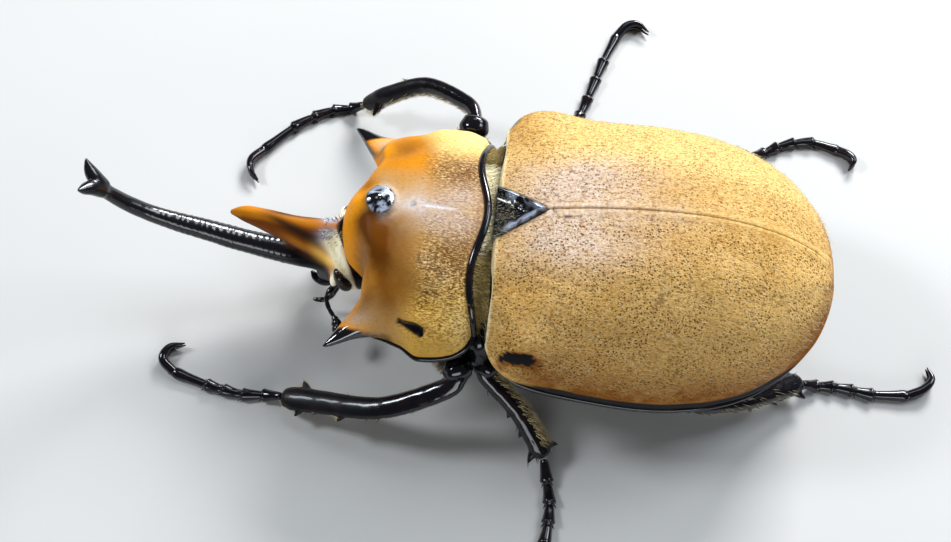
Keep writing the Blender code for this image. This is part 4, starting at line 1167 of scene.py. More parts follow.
def make_elytron(side, word, settings):
    """Make one wing cover with its seam ridge, rim, shoulder and creases, and its short pile."""
    grid, out, arc = elytron_grid(side, *ELYTRON_GRID)
    x, y = grid[..., 0], grid[..., 1] * side
    inner, outer = arc - SEAM_GAP, arc[:, -1:] - arc
    flat = grid.reshape(-1, 3)
    waves = grain(flat, 9.0, 3).reshape(x.shape) * 0.16 + grain(flat, 3.2, 5).reshape(x.shape) * 0.05
    ribs = 0.07 * np.cos(arc / np.maximum(arc[:, -1:], 1) * 2 * math.pi * 4) * ease(x, 8, 20)
    seam = 0.06 * ease(inner, 1.3, 0.7) * ease(x, 9, 16) - 0.03 * bell(inner - 1.5, 0.4)
    rim = 0.3 * bell(outer - 0.45, 0.45) - 0.18 * bell(outer - 1.5, 0.5)
    shoulder = 0.95 * hump(x, y, (8.0, 21.4), (5.0, 2.2))
    dent = -0.55 * hump(x, y, (5.0, 13.0), (5.5, 3.2))
    front = -0.8 * ease(x, 2.1, 1.0) + 0.22 * bell(x - 1.9, 0.45)
    height = (waves + ribs + seam + shoulder + dent + crease_height(x, y, side)) * ease(APEX_X - x, 0.0, 3.0)
    surface = grid + out * (height + rim * ease(x, 1.0, 3.0) + front)[..., None]
    name = "elytron_" + word
    mesh = new_mesh(name, sheet(surface, grid - out * ELYTRON_WALL))
    mark_elytron(mesh, side, np.concatenate([arc.ravel(), arc.ravel()]), np.concatenate([outer.ravel()] * 2))
    grow_pile(mesh, side, word, settings)
    finish(mesh, name + "_cover", shared("elytron", elytron_material, settings), "velvet_tan", name)


def crease_height(x, y, side):
    """Give the short creases that the left and right wing cover show."""
    total = np.zeros_like(x)
    for place_x, place_y, length, slant in CREASES[side]:
        along = (x - place_x) * math.cos(slant) + (y - place_y) * math.sin(slant)
        across = -(x - place_x) * math.sin(slant) + (y - place_y) * math.cos(slant)
        total += 0.055 * bell(along, length) * np.sin(across * 2.6 + along * 0.5) * bell(across, 1.9)
    if side < 0:
        total -= 0.22 * dark_crease(x, y, 1.5, 0.28)
    return total


def dark_crease(x, y, length, width):
    """Give 1 along the short dark crease of the left wing cover."""
    along = y - DARK_CREASE[1]
    return bell(along, length) * bell(x - DARK_CREASE[0] + along * DARK_CREASE_SLANT, width)


def mark_elytron(mesh, side, arc, outer):
    """Store where a wing cover is black, worn with a painted sheen, reddish with painted shade toward its
    edge, straw or paler with painted light, and pitted, and its flow map.
    """
    points = points_of(mesh)
    x, y, z = points.T
    y = y * side
    across = np.clip(y / np.maximum(elytra_half_width(x), 0.1), 0, 1)
    wobble = grain(points, 1.3, 9) * 0.35 + grain(points, 5.0, 2) * 0.3
    rim = ease(outer + wobble * 0.3 - 1.1 * ease(x, 6.0, 15.0) * ease(x, 57.0, 47.0), 0.6, 0.3)
    callus = hump(x, y - (x - CALLUS[0]) * 0.1, CALLUS, (2.4, 0.46))
    black = np.maximum(rim, ease(callus + grain(points, 0.5, 19) * 0.25 + wobble * 0.2, 0.15, 0.35))
    corner = ease(np.hypot(x - 2.6, y - 20.4) + wobble * 0.5, 1.8, 1.0) * ease(z, 29.5, 27.5) * (side > 0)
    under = np.arange(len(x)) >= len(x) // 2
    add_mask(mesh, "gloss", rim * 0.25)
    add_mask(mesh, "black", np.where(under, 1.0, np.maximum(black, corner)))
    # Painted sheen: worn pile at the front of each cover and along the seam, where a lilac sheen is painted.
    rubbed = hump(x, y, (15.0, 5.5), (11.0, 4.5)) + 0.5 * bell(y, 2.6) * ease(x, 44, 16)
    add_mask(mesh, "rubbed", np.clip(rubbed * (1 + wobble * 0.9), 0, 1) * ease(x, 1.2, 3.0))
    # Painted shade: a reddish tone that darkens toward the lower outer edge, plus a real brown smudge round
    # the shoulder spot.
    warm = ease(outer, 14.0, 3.0) * (0.95 + wobble) * ease(x, 6.0, 12.0)
    warm += ease(callus + wobble * 0.1, 0.01, 0.2)
    add_mask(mesh, "warm", np.clip(warm, 0, 1) * ease(x, 1.0, 6.0))
    # Painted light: the right cover, which faces the light, is paler all over; the left is paler only toward
    # its apex and outer side.
    rear_share = 1.0 if side > 0 else np.maximum(ease(y, 4.0, 13.0), ease(x, 43.0, 51.0))
    straw = ease(x, 22.0, 52.0) * 0.7 * rear_share
    straw += ease(y, 5.0, 12.0) * ease(x, 4.0, 12.0) * (1.0 if side > 0 else 0.15)
    add_mask(mesh, "straw", straw * (0.95 + wobble * 0.4))
    pitted = ease(across, 0.0, 0.12) * ease(outer, 1.2, 3.0) * (1.0 if side < 0 else 0.7)
    add_mask(mesh, "pitted", pitted * (1 - black))
    lines = 0.5 * bell(y, 0.14) * ease(x, 34, 22) + 0.15 * bell(np.abs(y) - 0.5, 0.14) * ease(x, 30, 42)
    lines = lines + 0.2 * bell(arc - 1.75, 0.2) * ease(x, 20, 30) + 0.9 * ease(x, 1.5, 1.25)
    lines += 0.8 * (side < 0) * dark_crease(x, y, 1.3, 0.3)
    add_mask(mesh, "lines", lines)
    add_mask(mesh, "pale", ease(x, 1.35, 1.7) * ease(x, 2.3, 1.95) * (0.7 + wobble))
    add_flow(mesh, x, arc)


def add_flow(mesh, along, across):
    """Store a UV map of places on the shell in metres, for patterns that follow it."""
    layer = mesh.uv_layers.new(name="Flow")
    corners = corners_of(mesh)
    places = np.stack([along[corners], across[corners]], axis=-1) * MM
    layer.data.foreach_set("uv", places.astype(np.float32).ravel())


def grow_pile(mesh, side, word, settings):
    """Grow the short golden pile of a wing cover, thicker near its shoulder, with none at its edges."""
    points = points_of(mesh)
    x, y, z = points.T
    y = np.abs(y)
    outside = np.arange(len(x)) < len(x) // 2
    growth = 0.35 + 0.65 * hump(x, y, (7.0, 17.0), (6.0, 4.0))
    callus = hump(x, y, CALLUS, (3.4, 1.1))
    growth = growth * outside * ease(y, 2.0, 6.0) * ease(x, 1.8, 4.0) * ease(callus, 0.4, 0.1)
    growth = growth * ease(z - elytra_edge(x), 2.5, 6.0)
    lie = np.array((1.0, 0.25 * side, -0.2))
    grow_hair(mesh, "pile", growth, lie, "velvet_tan", settings, "elytron_" + word + "_pile")


def make_scutellum(settings):
    """Make the scutellum with raised shiny edges that carry painted reflections, a rough sunk middle and grey
    down at its base.
    """
    rows, columns = SCUTELLUM_GRID
    x = np.linspace(SCUTELLUM_FRONT, SCUTELLUM_TIP - 0.2, rows)[:, None] * np.ones(columns)
    share = np.linspace(-1, 1, columns)[None, :] * np.ones((rows, 1))
    y = scutellum_half_width(x) * share
    edge = scutellum_half_width(x) - np.abs(y)
    z = arch_height(x, y) + 0.12 + 0.5 * bell(edge - 0.6, 0.5) - 0.45 * ease(edge, 1.0, 2.6)
    z = z - 0.4 * ease(edge, 0.3, 0.0)
    grid = np.stack([x, y, z], axis=-1)
    flat = grid.reshape(-1, 3)
    rough = ease(x, 2.5, 4.5) * ease(edge, 0.3, 1.0)
    lumps = grain(flat, 1.3, 4) * 0.2 + grain(flat, 0.7, 14) * 0.07 + grain(flat, 2.6, 6) * 0.14
    grid[..., 2] += lumps.reshape(x.shape) * rough
    mesh = new_mesh("scutellum_plate", sheet(grid, grid - np.array((0, 0, SCUTELLUM_WALL))))
    points = points_of(mesh)
    top = np.arange(len(points)) < len(points) // 2
    # Painted reflection: silvery metallic patches along the raised rims.
    rims = bell(np.concatenate([edge.ravel()] * 2) - 0.9, 0.6) * ease(grain(points, 0.9, 21), -0.5, 0.1)
    add_mask(mesh, "glint", 0.9 * rims * ease(points[:, 0], 2.5, 4.0))
    growth = ease(points[:, 0] + np.abs(points[:, 1]) * 0.4, 6.0, 3.0) * top
    grow_hair(mesh, "scutellum_down", growth, np.array((1.0, 0.0, 0.0)), "black_shell", settings)
    shell = black_material(settings, "scutellum_shell", 0.08, 0.05)
    finish(mesh, "scutellum_plate", shell, "black_shell", "scutellum")


def prothorax_rings(rows, half):
    """Give the rings of the pronotum above its edge and of the prosternum below it."""
    share = np.linspace(0, 1, rows)
    x = PRONOTUM_NOSE * (1 - share)**1.6
    x = x[:, None]
    half_width, edge, under = (curve(line)(x) for line in (PRONOTUM_HALF_WIDTHS, PRONOTUM_EDGES, PROSTERNUM))
    y, z = barrel(half_width, edge, pronotum_top(x), under, (PRONOTUM_ARCH_POWER, PROSTERNUM_POWER), half)
    return np.stack([x + rear_lobe(x, y), y, z], axis=-1)


def make_pronotum(settings):
    """Make the pronotum with its side horns as one skin, with its folds, knob and marks."""
    parts = [loft(prothorax_rings(*PRONOTUM_GRID))]
    for side, _ in SIDES:
        parts.append(loft(limb_rings(mirrored(SIDE_HORN, side), 60, 40)))
    mesh = melt("pronotum_skin", join(*parts), settings.pronotum_net)
    relax(mesh, 1.0, 4)
    x, y, _ = points_of(mesh).T
    relax(mesh, np.clip(1.6 * hump(x, np.abs(y), (-18.0, 15.8), (3.0, 3.4)), 0, 1), 60)
    shape_pronotum(mesh)
    mark_pronotum(mesh)
    finish(mesh, "pronotum_skin", pronotum_material(settings), "amber",
           "prothorax", "pronotal_horn_left", "pronotal_horn_right")


def make_collar(settings):
    """Make the neck behind the pronotum, swollen and black at its sides, with cream and olive hair."""
    x = np.linspace(COLLAR_FRONT, COLLAR_REAR, 28)[:, None]
    top = pronotum_top(x) - 1.0 - 0.25 * (x - COLLAR_FRONT) / (COLLAR_REAR - COLLAR_FRONT)
    edge = COLLAR_EDGE_Z * np.ones_like(x)
    y, z = barrel(curve(COLLAR_HALF_WIDTHS)(x), edge, top, COLLAR_LOW_Z, COLLAR_POWERS, 80)
    parts = [loft(np.stack([x * np.ones(y.shape[1]), y, z], axis=-1))]
    parts += [ball(mirrored([SHOULDER_BALL], side)[0], SHOULDER_BALL_SIZE) for side, _ in SIDES]
    mesh = new_mesh("collar", join(*parts))
    x, y, _ = points_of(mesh).T
    growth = ease(normals_of(mesh)[:, 2], -0.5, -0.1) * ease(x, -2.6, -1.4)
    lie = np.stack([0.75 * np.ones(len(x)), y * 0.03, 0.15 * np.ones(len(x))], axis=-1)
    middle = ease(np.abs(y - 2.0), 11.0, 6.0)
    bare = ease(np.abs(y), 14.5, 17.0)
    grow_hair(mesh, "collar_cream_hair", growth * middle, lie, "amber", settings)
    grow_hair(mesh, "collar_olive_hair", growth * (1 - middle) * (1 - bare), lie, "amber", settings)
    add_mask(mesh, "black", bare)
    finish(mesh, "neck_collar", collar_material(settings), "brown_black")


def side_edge(side, start, end, radius, count=60):
    """Give a bead line along the pronotum's side edge."""
    x = np.linspace(start, end, count)
    y = side * curve(PRONOTUM_HALF_WIDTHS)(x)
    z = curve(PRONOTUM_EDGES)(x) - 0.1
    return np.stack([x + rear_lobe(x, y), y, z, radius * np.ones(count)], axis=-1)


def rear_edge(radius, count=160):
    """Give a bead line over the pronotum's rear edge."""
    angle = np.linspace(0, math.pi, count)
    across, up = superellipse(angle, PRONOTUM_ARCH_POWER)
    y = curve(PRONOTUM_HALF_WIDTHS)(0.0) * across
    edge = curve(PRONOTUM_EDGES)(0.0)
    z = edge + (pronotum_top(0.0) - edge) * up
    return np.stack([rear_lobe(0.0, y) + 0.1, y, z, radius * np.ones(count)], axis=-1)


def make_margins(settings):
    """Make the glossy black beads along the edges of the pronotum and the wing covers."""
    black = shared("black", black_material, settings)
    rear = rear_edge(0.55)
    rear[:, 3] += 0.1 * ease(rear[:, 2], 24.0, 29.0)
    sides = [side_edge(side, 0.0, -17.5, 0.4) for side, _ in SIDES]
    for line in sides:
        line[:, 3] *= ease(line[:, 0], -18.0, -13.0) * 0.75 + 0.25 + 0.5 * ease(line[:, 0], -12.0, -8.0)
    whole = np.vstack([sides[1][::-1], rear[1:-1], sides[0]])
    make_beads([whole], "pronotum_bead", black, "black_shell")
    for side, word in SIDES:
        x = ELYTRA_FRONT + 0.4 + (APEX_X - ELYTRA_FRONT - 0.45) * (1 - (1 - np.linspace(0, 1, 260))**1.8)
        y = side * (elytra_half_width(x) + 0.25)
        radius = 0.4 * ease(x, 3.0, 8.0) * ease(x, 54.0, 42.0) + 0.12
        line = np.stack([x, y, elytra_edge(x) + 0.05, radius], axis=-1)
        make_beads([line], "elytron_" + word + "_bead", black, "black_shell")


def along_line(x, y, start, end):
    """Give how far along a line in plan (0 to 1) and how far beside it each point lies."""
    start, end = np.array(start), np.array(end)
    line = end - start
    t = ((x - start[0]) * line[0] + (y - start[1]) * line[1]) / (line @ line)
    clipped = np.clip(t, 0, 1)
    gap = np.hypot(x - start[0] - clipped * line[0], y - start[1] - clipped * line[1])
    return t, gap


def shape_pronotum(mesh):
    """Raise and sink the pronotum's knob, folds, midline and slit."""
    points = points_of(mesh)
    x, y, z = points.T
    above = ease(normals_of(mesh)[:, 2], 0.0, 0.3)
    far = np.abs(y)
    knob = np.hypot((x - KNOB_X) / KNOB_SIZE[0], y / KNOB_SIZE[1])
    rough = grain(points, 1.4, 8) * 0.35 + grain(points, 0.7, 18) * 0.16
    height = (1.1 + rough * 1.3) * np.sqrt(np.clip(1.1 - knob**2, 0, 1)) + 0.1 * ease(knob, 1.3, 1.0)
    _, fold = along_line(x, far, (-19.5, 9.5), (-9.5, 15.0))
    height -= 0.75 * bell(fold, 2.0)
    _, flank = along_line(x, far, (-14.5, 17.0), (-5.0, 19.2))
    height += 0.35 * bell(flank, 1.8)
    height -= 0.1 * bell(y, 0.22) * ease(x, -12, -9) * ease(x, -0.5, -2)
    slit_along, slit = along_line(x, y, *SLIT)
    height -= 0.5 * ease(slit - 0.3 * ease(slit_along, 0.1, 0.85), 0.45, 0.05)
    height += grain(points, 6.0, 1) * 0.14 + grain(points, 2.0, 7) * 0.03
    push(mesh, height * above)
    points = points_of(mesh)
    points[:, 0] += 1.3 * hump(points[:, 0], np.abs(points[:, 1]), (-21.3, 8.9), (1.9, 2.4))
    set_points(mesh, points)


def mark_pronotum(mesh):
    """Store where the pronotum is black, amber, dotted, yellow and grey, and where painted shade (brown
    patches and a band), painted sheen and painted reflections lie.
    """
    points = points_of(mesh)
    x, y, z = points.T
    far = np.abs(y)
    up = normals_of(mesh)[:, 2]
    wobble = grain(points, 3.0, 11) * 0.5 + grain(points, 0.8, 12) * 0.3
    knob = np.hypot((x - KNOB_X) / KNOB_BLACK_SIZE[0], y / KNOB_BLACK_SIZE[1]) + wobble * 0.14
    horn = ease(far + wobble * 0.35 - curve(HORN_BLACK)(x), -0.35, 0.3) * ease(x, -13.0, -15.0)
    slit_along, slit = along_line(x, y, *SLIT)
    slit_wide = 0.1 + 0.36 * ease(slit_along, 0.1, 0.85)
    facing = normals_of(mesh)[:, 0]
    horn = np.maximum(horn, ease(-facing, 0.62, 0.8) * ease(far, 13.5, 15.5) * (y > 0))
    spot = np.hypot((x - MIDLINE_SPOT[0]) / 0.5, y / 0.45)
    edge = curve(PRONOTUM_EDGES)(x)
    under = ease(z - edge, 0.35, -0.35)
    bare = np.maximum.reduce([ease(knob, 1.12, 0.95), horn, under])
    black = np.maximum.reduce([bare, ease(slit - slit_wide, 0.25, 0.0), 0.6 * ease(spot, 1.4, 0.6)])
    add_mask(mesh, "black", black)
    add_mask(mesh, "gloss", bare)
    # Painted reflection: silvery metallic patches on the knob, bright on both sides of a dark middle band
    # where reflections of the room lie, and a silvery streak along the midline.
    across = (y + 0.25 * (x - KNOB_X)) / 2.4 + grain(points, 0.55, 31) * 0.45 + grain(points, 1.2, 32) * 0.25
    patchy = np.maximum(ease(across, 0.1, 0.3), ease(across, -0.45, -0.6))
    patchy *= ease(grain(points, 0.4, 33), -0.35, -0.1)
    streak = bell(y, 0.25) * ease(x, -11.0, -9.5) * ease(x, -4.5, -7.0)
    streak += hump(x, y, MIDLINE_SPOT, (1.8, 1.3)) * ease(grain(points, 0.45, 35), 0.0, 0.4)
    add_mask(mesh, "glint", patchy * ease(knob, 1.05, 0.9) + 0.45 * streak)
    front = ease(x + wobble * 1.2 + bell(far - 9.0, 5.0) * 2.0, -16.5, -20.5)
    add_mask(mesh, "deep", ease(x + wobble * 0.4 - 0.2 * far, -19.3, -22.0))
    flank = hump(x, far, (-16.5, 12.5), (5.0, 5.0))
    right = ease(y, 3.0, 9.0) * ease(x + 0.4 * np.maximum(far - 9.0, 0), -7.0, -12.0) * 0.85
    root = hump(x, far, (-18.8, 16.2), (3.0, 2.4))
    add_mask(mesh, "amber", (front + flank * 0.75 + right) * (1 - 0.8 * root))
    # Painted shade: brown patches on the rear half, and darker ground just before the rear bead.
    shade = 0.5 * hump(x, far, (-13.0, 8.0), (3.0, 3.6)) + 0.9 * hump(x, far, (-4.0, 7.0), (3.6, 3.2))
    add_mask(mesh, "brown", (shade + 0.6 * ease(x, -2.6, -1.2)) * (1.0 + wobble * 0.5))
    # Painted shade: a brown band behind the front, full on the left, which faces away from the light, and
    # fainter on the right, with more places of painted shade.
    middle = np.interp(far, (3.0, 8.0, 13.0, 17.0), (-18.6, -16.9, -15.2, -14.2))
    band = 0.3 * bell(x - middle + wobble * 1.4, 1.8) + 0.55 * bell(x - middle - 1.2 + wobble * 2.2, 4.6)
    band = band * ease(far, 0.6, 3.0) * ease(far, 19.0, 14.5)
    band = band * np.where(y < 0, 1.0, 0.3 + 0.6 * bell(far - 12.5, 3.0))
    for place_x, place_y, size, strength in PAINTED_SHADE_PLACES:
        band += strength * bell(np.hypot(x - place_x, y - place_y) + wobble * 0.6, size)
    add_mask(mesh, "band", band)
    dotted = ease(x + wobble * 2.5, -12.5, -8.0) * ease(far, 22.0, 19.0)
    dotted *= 0.4 + 0.7 * np.exp(-((y + 12.0) / 7.0)**2) + 0.5 * np.exp(-((y - 7.5) / 3.5)**2)
    add_mask(mesh, "dotted", dotted * (0.95 + wobble * 0.4))
    # Painted sheen: lilac over the rear middle.
    lilac = 0.9 * hump(x, far, (-5.0, 2.0), (4.0, 3.2)) + 0.8 * hump(x, y, (-10.5, -0.5), (5.0, 3.0))
    add_mask(mesh, "lilac", lilac * (0.9 + wobble * 0.5))
    halo = 0.6 * bell(np.maximum(knob - 1.0, 0), 0.45) * ease(x, -18.5, -16.0)
    halo += 0.85 * hump(x, y, (-11.8, 0.0), (1.9, 1.3))
    halo += 0.75 * bell(y, 0.38) * ease(x, -11, -10) * ease(x, -3, -6)
    # Painted sheen: a whitish sheen at each side horn's root.
    halo += 0.6 * hump(x, far, (-19.7, 16.8), (2.2, 1.3)) * ease(z, 20.0, 21.0)
    add_mask(mesh, "halo", halo * (0.85 + wobble * 0.5))
    add_mask(mesh, "yellow", ease(far, 10.0, 16.0) * ease(x, -15.0, -9.0) * (0.9 + wobble * 0.5))
    # Paler rear corners on both sides, and painted light over the right flank, which faces the light.
    corner = 0.9 * hump(x, far, (-2.0, 17.5), (2.6, 2.6)) + ease(y, 9.0, 15.0) * ease(x, -14.5, -7.0)
    add_mask(mesh, "pale", corner * (0.9 + wobble * 0.4))


def make_head(settings):
    """Make the head with its forked horn and tooth as one skin."""
    rows = glide(HEAD, np.linspace(0, len(HEAD) - 1, 60))
    turn = 2 * math.pi * np.arange(64) / 64
    x = rows[:, 0, None] * np.ones(64)
    y, z = rows[:, 2, None] * np.cos(turn), rows[:, 1, None] + rows[:, 3, None] * np.sin(turn)
    parts = [loft(np.stack([x, y, z], axis=-1))]
    stations = [(x, 0.0, z, width, height) for x, z, width, height in CEPHALIC_HORN]
    parts.append(loft(limb_rings(stations, 200, 48)))
    blade = [(x, 0.0, z, width, height) for x, z, width, height in TOOTH]
    parts.append(loft(limb_rings(blade, 80, 40)))
    for side, _ in SIDES:
        parts.append(loft(limb_rings(round_stations(mirrored(PRONG, side)), 30, 24)))
        parts.append(ball(mirrored([CANTHUS_PLACE], side)[0], CANTHUS_SIZE))
    mesh = melt("head_skin", join(*parts), settings.head_net)
    relax(mesh, 1.0, 3)
    x = points_of(mesh)[:, 0]
    relax(mesh, ease(x, -33.0, -29.0) * ease(x, -22.0, -24.5), 40)
    relax(mesh, bell(x - FORK_X, 1.9), 30)
    shape_head(mesh)
    mark_head(mesh)
    grow_head_hair(mesh, settings)
    finish(mesh, "head_skin", head_material(settings), "amber", "head", "head_horn")


def horn_axis(x):
    """Height of the head horn's middle line."""
    return np.interp(-x, [-row[0] for row in CEPHALIC_HORN], [row[1] for row in CEPHALIC_HORN])


def head_slope(y, z):
    """Give how far down the side of the head a place is, for bands that run along it."""
    return np.abs(y) * 0.9 - z * 0.44


def cream_tuft(x, y, z):
    """Give 1 where a cream tuft stands at the back of the head."""
    return hump(x, y, CREAM_TUFT, (1.2, 1.0)) * ease(z, 18.0, 20.0)


def shape_head(mesh):
    """Raise the horn's cross wrinkles and granules, and a low keel on the head."""
    points = points_of(mesh)
    x, y, z = points.T
    horn = ease(x, -31.5, -36.0) * ease(x, -61.0, -52.0) * ease(z - horn_axis(x), 3.2, 2.5)
    rows = np.sin(x * 2 * math.pi / 1.05 + grain(points, 1.6, 3) * 2.4)
    lumps = np.maximum(grain(points, 0.6, 5), 0)
    height = horn * (0.022 * rows + 0.045 * lumps * (0.5 + 0.5 * rows))
    height += grain(points, 2.5, 2) * 0.06 + 0.2 * bell(y, 0.9) * ease(x, -30, -26) * ease(x, -23, -25)
    push(mesh, height)


def mark_head(mesh):
    """Store where the head is black, cream, grey, gold, amber and brown."""
    points = points_of(mesh)
    x, y, z = points.T
    far = np.abs(y)
    wobble = grain(points, 1.6, 6)
    rise = z - horn_axis(x)
    slope = head_slope(y, z)
    blade = ease(rise, 2.2, 3.2) * ease(x, -45.0, -44.0)
    gold = -4.2 + 0.43 * (x + 26.7)
    strip = -22.3 + 0.5 * (slope + 0.15)
    black = ease(-x + wobble * 0.5 - rise * 0.9, 31.0, 35.0) * (1 - blade)
    low = ease(slope - gold + wobble * 0.3, 1.3, 2.6) * ease(x, -26.2, -27.2)
    low = np.maximum(low, ease(rise + wobble * 0.4, -0.8, -2.0) * ease(x, -23.0, -26.5))
    reach = np.interp(slope, (-6.0, -3.0, 0.0), (1.7, 1.2, 0.5))
    cavity = ease(x - strip - reach * 0.85 + wobble * 0.15, 0.0, 0.3) * ease(x, -26.0, -24.6)
    add_mask(mesh, "gloss", black)
    add_mask(mesh, "black", np.maximum.reduce([black, low, cavity]))
    temple = bell(x - strip + 0.1, reach) * ease(slope, -7.9, -6.9) * ease(z, 10.5, 12.5)
    ridge = hump(x, far, (-25.5, 7.2), (1.2, 1.6)) * bell(z - 15.6, 1.6)
    add_mask(mesh, "cream", (temple + ridge + cream_tuft(x, y, z)) * (1.3 + wobble * 0.3))
    add_mask(mesh, "halo", hump(x, slope, (-26.5, -8.1), (1.5, 1.15)) * (1.5 + wobble * 0.5))
    add_mask(mesh, "gold", bell(slope - gold, 1.1) * ease(x, -31.0, -27.5) * ease(x - strip, 0.6, -0.4))
    crest = np.interp(-x, [-row[0] for row in TOOTH], [row[1] + row[3] for row in TOOTH])
    below = crest - z + far * 0.5
    flank = ease(below + wobble * 0.2, 0.7, 1.9) * ease(x, -26.5, -28.5)
    band = bell(slope - gold, 0.75) * ease(x, -36.0, -32.0)
    add_mask(mesh, "amber", 1 - flank * 0.85 + band * 0.95)
    streak = bell(slope - gold + 2.1, 0.95) * ease(x, -40.0, -34.0) * ease(x, -27.0, -29.0)
    streak = np.maximum(streak, ease(slope - gold, 0.5, 1.5) * ease(x, -26.0, -28.0))
    root = ease(-x + wobble * 0.5 - rise * 0.9, 28.5, 32.0) * (1 - blade)
    streak = streak * 0.85 + 0.25 * ease(x, -37.0, -30.0)
    add_mask(mesh, "brown", np.clip(streak + root, 0, 1) * (1 - band * 0.7 * (root < 0.5)))


def grow_head_hair(mesh, settings):
    """Grow the cream hair behind the eyes, round the grey patch and the dark bristles on it."""
    points = points_of(mesh)
    x, y, z = points.T
    far = np.abs(y)
    slope = head_slope(y, z)
    occiput = bell(x + 22.5 - 0.5 * slope, 0.5) * ease(slope, -10.0, -8.5) * ease(z, 11.0, 13.0)
    occiput = occiput * (1 - bell(y - 2.0, 2.4))
    aside = np.sign(y) * ease(far, 0.5, 3.0)
    away = np.stack([-0.5 * np.ones(len(x)), aside, -0.5 * ease(far, 2.0, 6.0)], axis=-1)
    grow_hair(mesh, "head_cream_hair", occiput + cream_tuft(x, y, z) * 0.8, away, "amber", settings)
    patch = hump(x, slope, (-26.0, -8.2), (1.4, 1.0))
    grow_hair(mesh, "head_bristles", patch, away, "amber", settings)
    throat = ease(z, 7.5, 6.0) * ease(x, -28.0, -26.5) * ease(x, -20.0, -22.5) * ease(far, 5.0, 3.5)
    down = np.stack([-0.7 * np.ones(len(x)), 0.2 * y, -0.6 * np.ones(len(x))], axis=-1)
    grow_hair(mesh, "mouth_brush", throat, down, "amber", settings)


def make_eyes(settings):
    """Make the two eyes."""
    material = eye_material(settings)
    for side, word in SIDES:
        points, faces = ball((0, 0, 0), EYE_RADII, 60, 90)
        lean = Vector((0, 0, 1)).rotation_difference(Vector((EYE_LEAN[0], EYE_LEAN[1] * side, EYE_LEAN[2])))
        points = points @ np.array(lean.to_matrix()).T + np.array(mirrored([EYE_PLACE], side)[0])
        mesh = new_mesh("eye", (points, faces))
        finish(mesh, "eye_" + word + "_lens", material, "eye", "eye_" + word)


def make_mouthparts(settings):
    """Make the mandibles, palps and feelers."""
    material = black_material(settings, "mouth_shell", 0.18, 0.03)
    for side, word in SIDES:
        jaw = limb_rings(mirrored(MANDIBLE, side), 40, 32)
        palp = limb_rings(round_stations(mirrored(PALP, side)), 60, 20, beaded(4))
        feeler = limb_rings(round_stations(mirrored(ANTENNA, side)), 120, 24, beaded(10))
        parts = (("mandible_", "_jaw", jaw), ("palp_", "_joints", palp), ("antenna_", "_feeler", feeler))
        for part, end, rings in parts:
            finish(new_mesh(part, loft(rings)), part + word + end, material, "black_shell", part + word)


def beaded(count):
    """Give a section that narrows between joints."""
    def section(share, turn):
        return (0.78 + 0.22 * np.abs(np.sin(share * math.pi * count))**0.6) * np.ones_like(turn)
    return section


def body_rings(x, half=64):
    """Give rings of the body under the wing covers."""
    x = x[:, None]
    end = np.where(x > WIDEST_X, APEX_X, SHOULDER_START)
    shrink = 1 - BODY_INSET / np.abs(end - WIDEST_X)
    stretched = WIDEST_X + (x - WIDEST_X) / shrink
    least = np.where(x < WIDEST_X, NECK_HALF_WIDTH, 0.0)
    half_width = np.maximum(elytra_half_width(stretched) - BODY_INSET, least)
    top = elytra_top(stretched) - BODY_INSET
    step = STERNITE_STEP * sternite_share(x)
    y, z = barrel(
        half_width, elytra_edge(x), top, curve(BELLY)(x) + step, (ARCH_POWER, BELLY_POWER), half,
        half_width - step)
    return np.stack([x * np.ones(y.shape[1]), y, z], axis=-1)


def sternite_share(x):
    """How far along its plate a place on the abdomen's underside is, from 0 to 1."""
    plate = (ABDOMEN_END - THORAX_END) / STERNITE_COUNT
    share = ((x - THORAX_END) % plate) / plate
    return np.where((x > THORAX_END) & (x <= ABDOMEN_END), share, 0.0)


def make_trunk(settings):
    """Make the body under the wing covers."""
    material = shared("underside", underside_material, settings)
    spans = {"thorax": (BODY_FRONT, THORAX_END), "abdomen": (THORAX_END + 0.05, ABDOMEN_END),
             "pygidium": (ABDOMEN_END + 0.05, PYGIDIUM_END)}
    for word, (start, end) in spans.items():
        rows = int((end - start) / BODY_ROW)
        mesh = new_mesh(word, loft(body_rings(np.linspace(start, end, rows))))
        push(mesh, grain(points_of(mesh), 2.0, 3) * 0.05)
        finish(mesh, word + "_shell", material, "brown_black", word)


# Profiles: share of a part's length and share of its radius. A foot joint's begins in the joint before
FEMUR_PROFILE = ((0.08, 0.6), (0.3, 0.92), (0.55, 1.0), (0.8, 0.92), (0.9, 0.8), (0.97, 0.98), (1.03, 0.84))
TIBIA_PROFILE = ((0.0, 0.72), (0.1, 0.9), (0.3, 1.0), (0.6, 1.05), (0.85, 1.14), (0.95, 1.2), (1.0, 1.02))
JOINT_PROFILE = (
    (-0.14, 0.46), (0.02, 0.6), (0.2, 0.74), (0.5, 0.86), (0.78, 1.02), (0.92, 1.12), (0.99, 0.84),
)
CLAW_JOINT_PROFILE = ((-0.14, 0.5), (0.05, 0.66), (0.3, 0.74), (0.6, 0.82), (0.85, 0.98), (0.96, 0.92))
TOOTH_SIZES = ((0.0, 1.0), (0.3, 0.8), (0.6, 0.52), (0.85, 0.28), (1.0, 0.12))


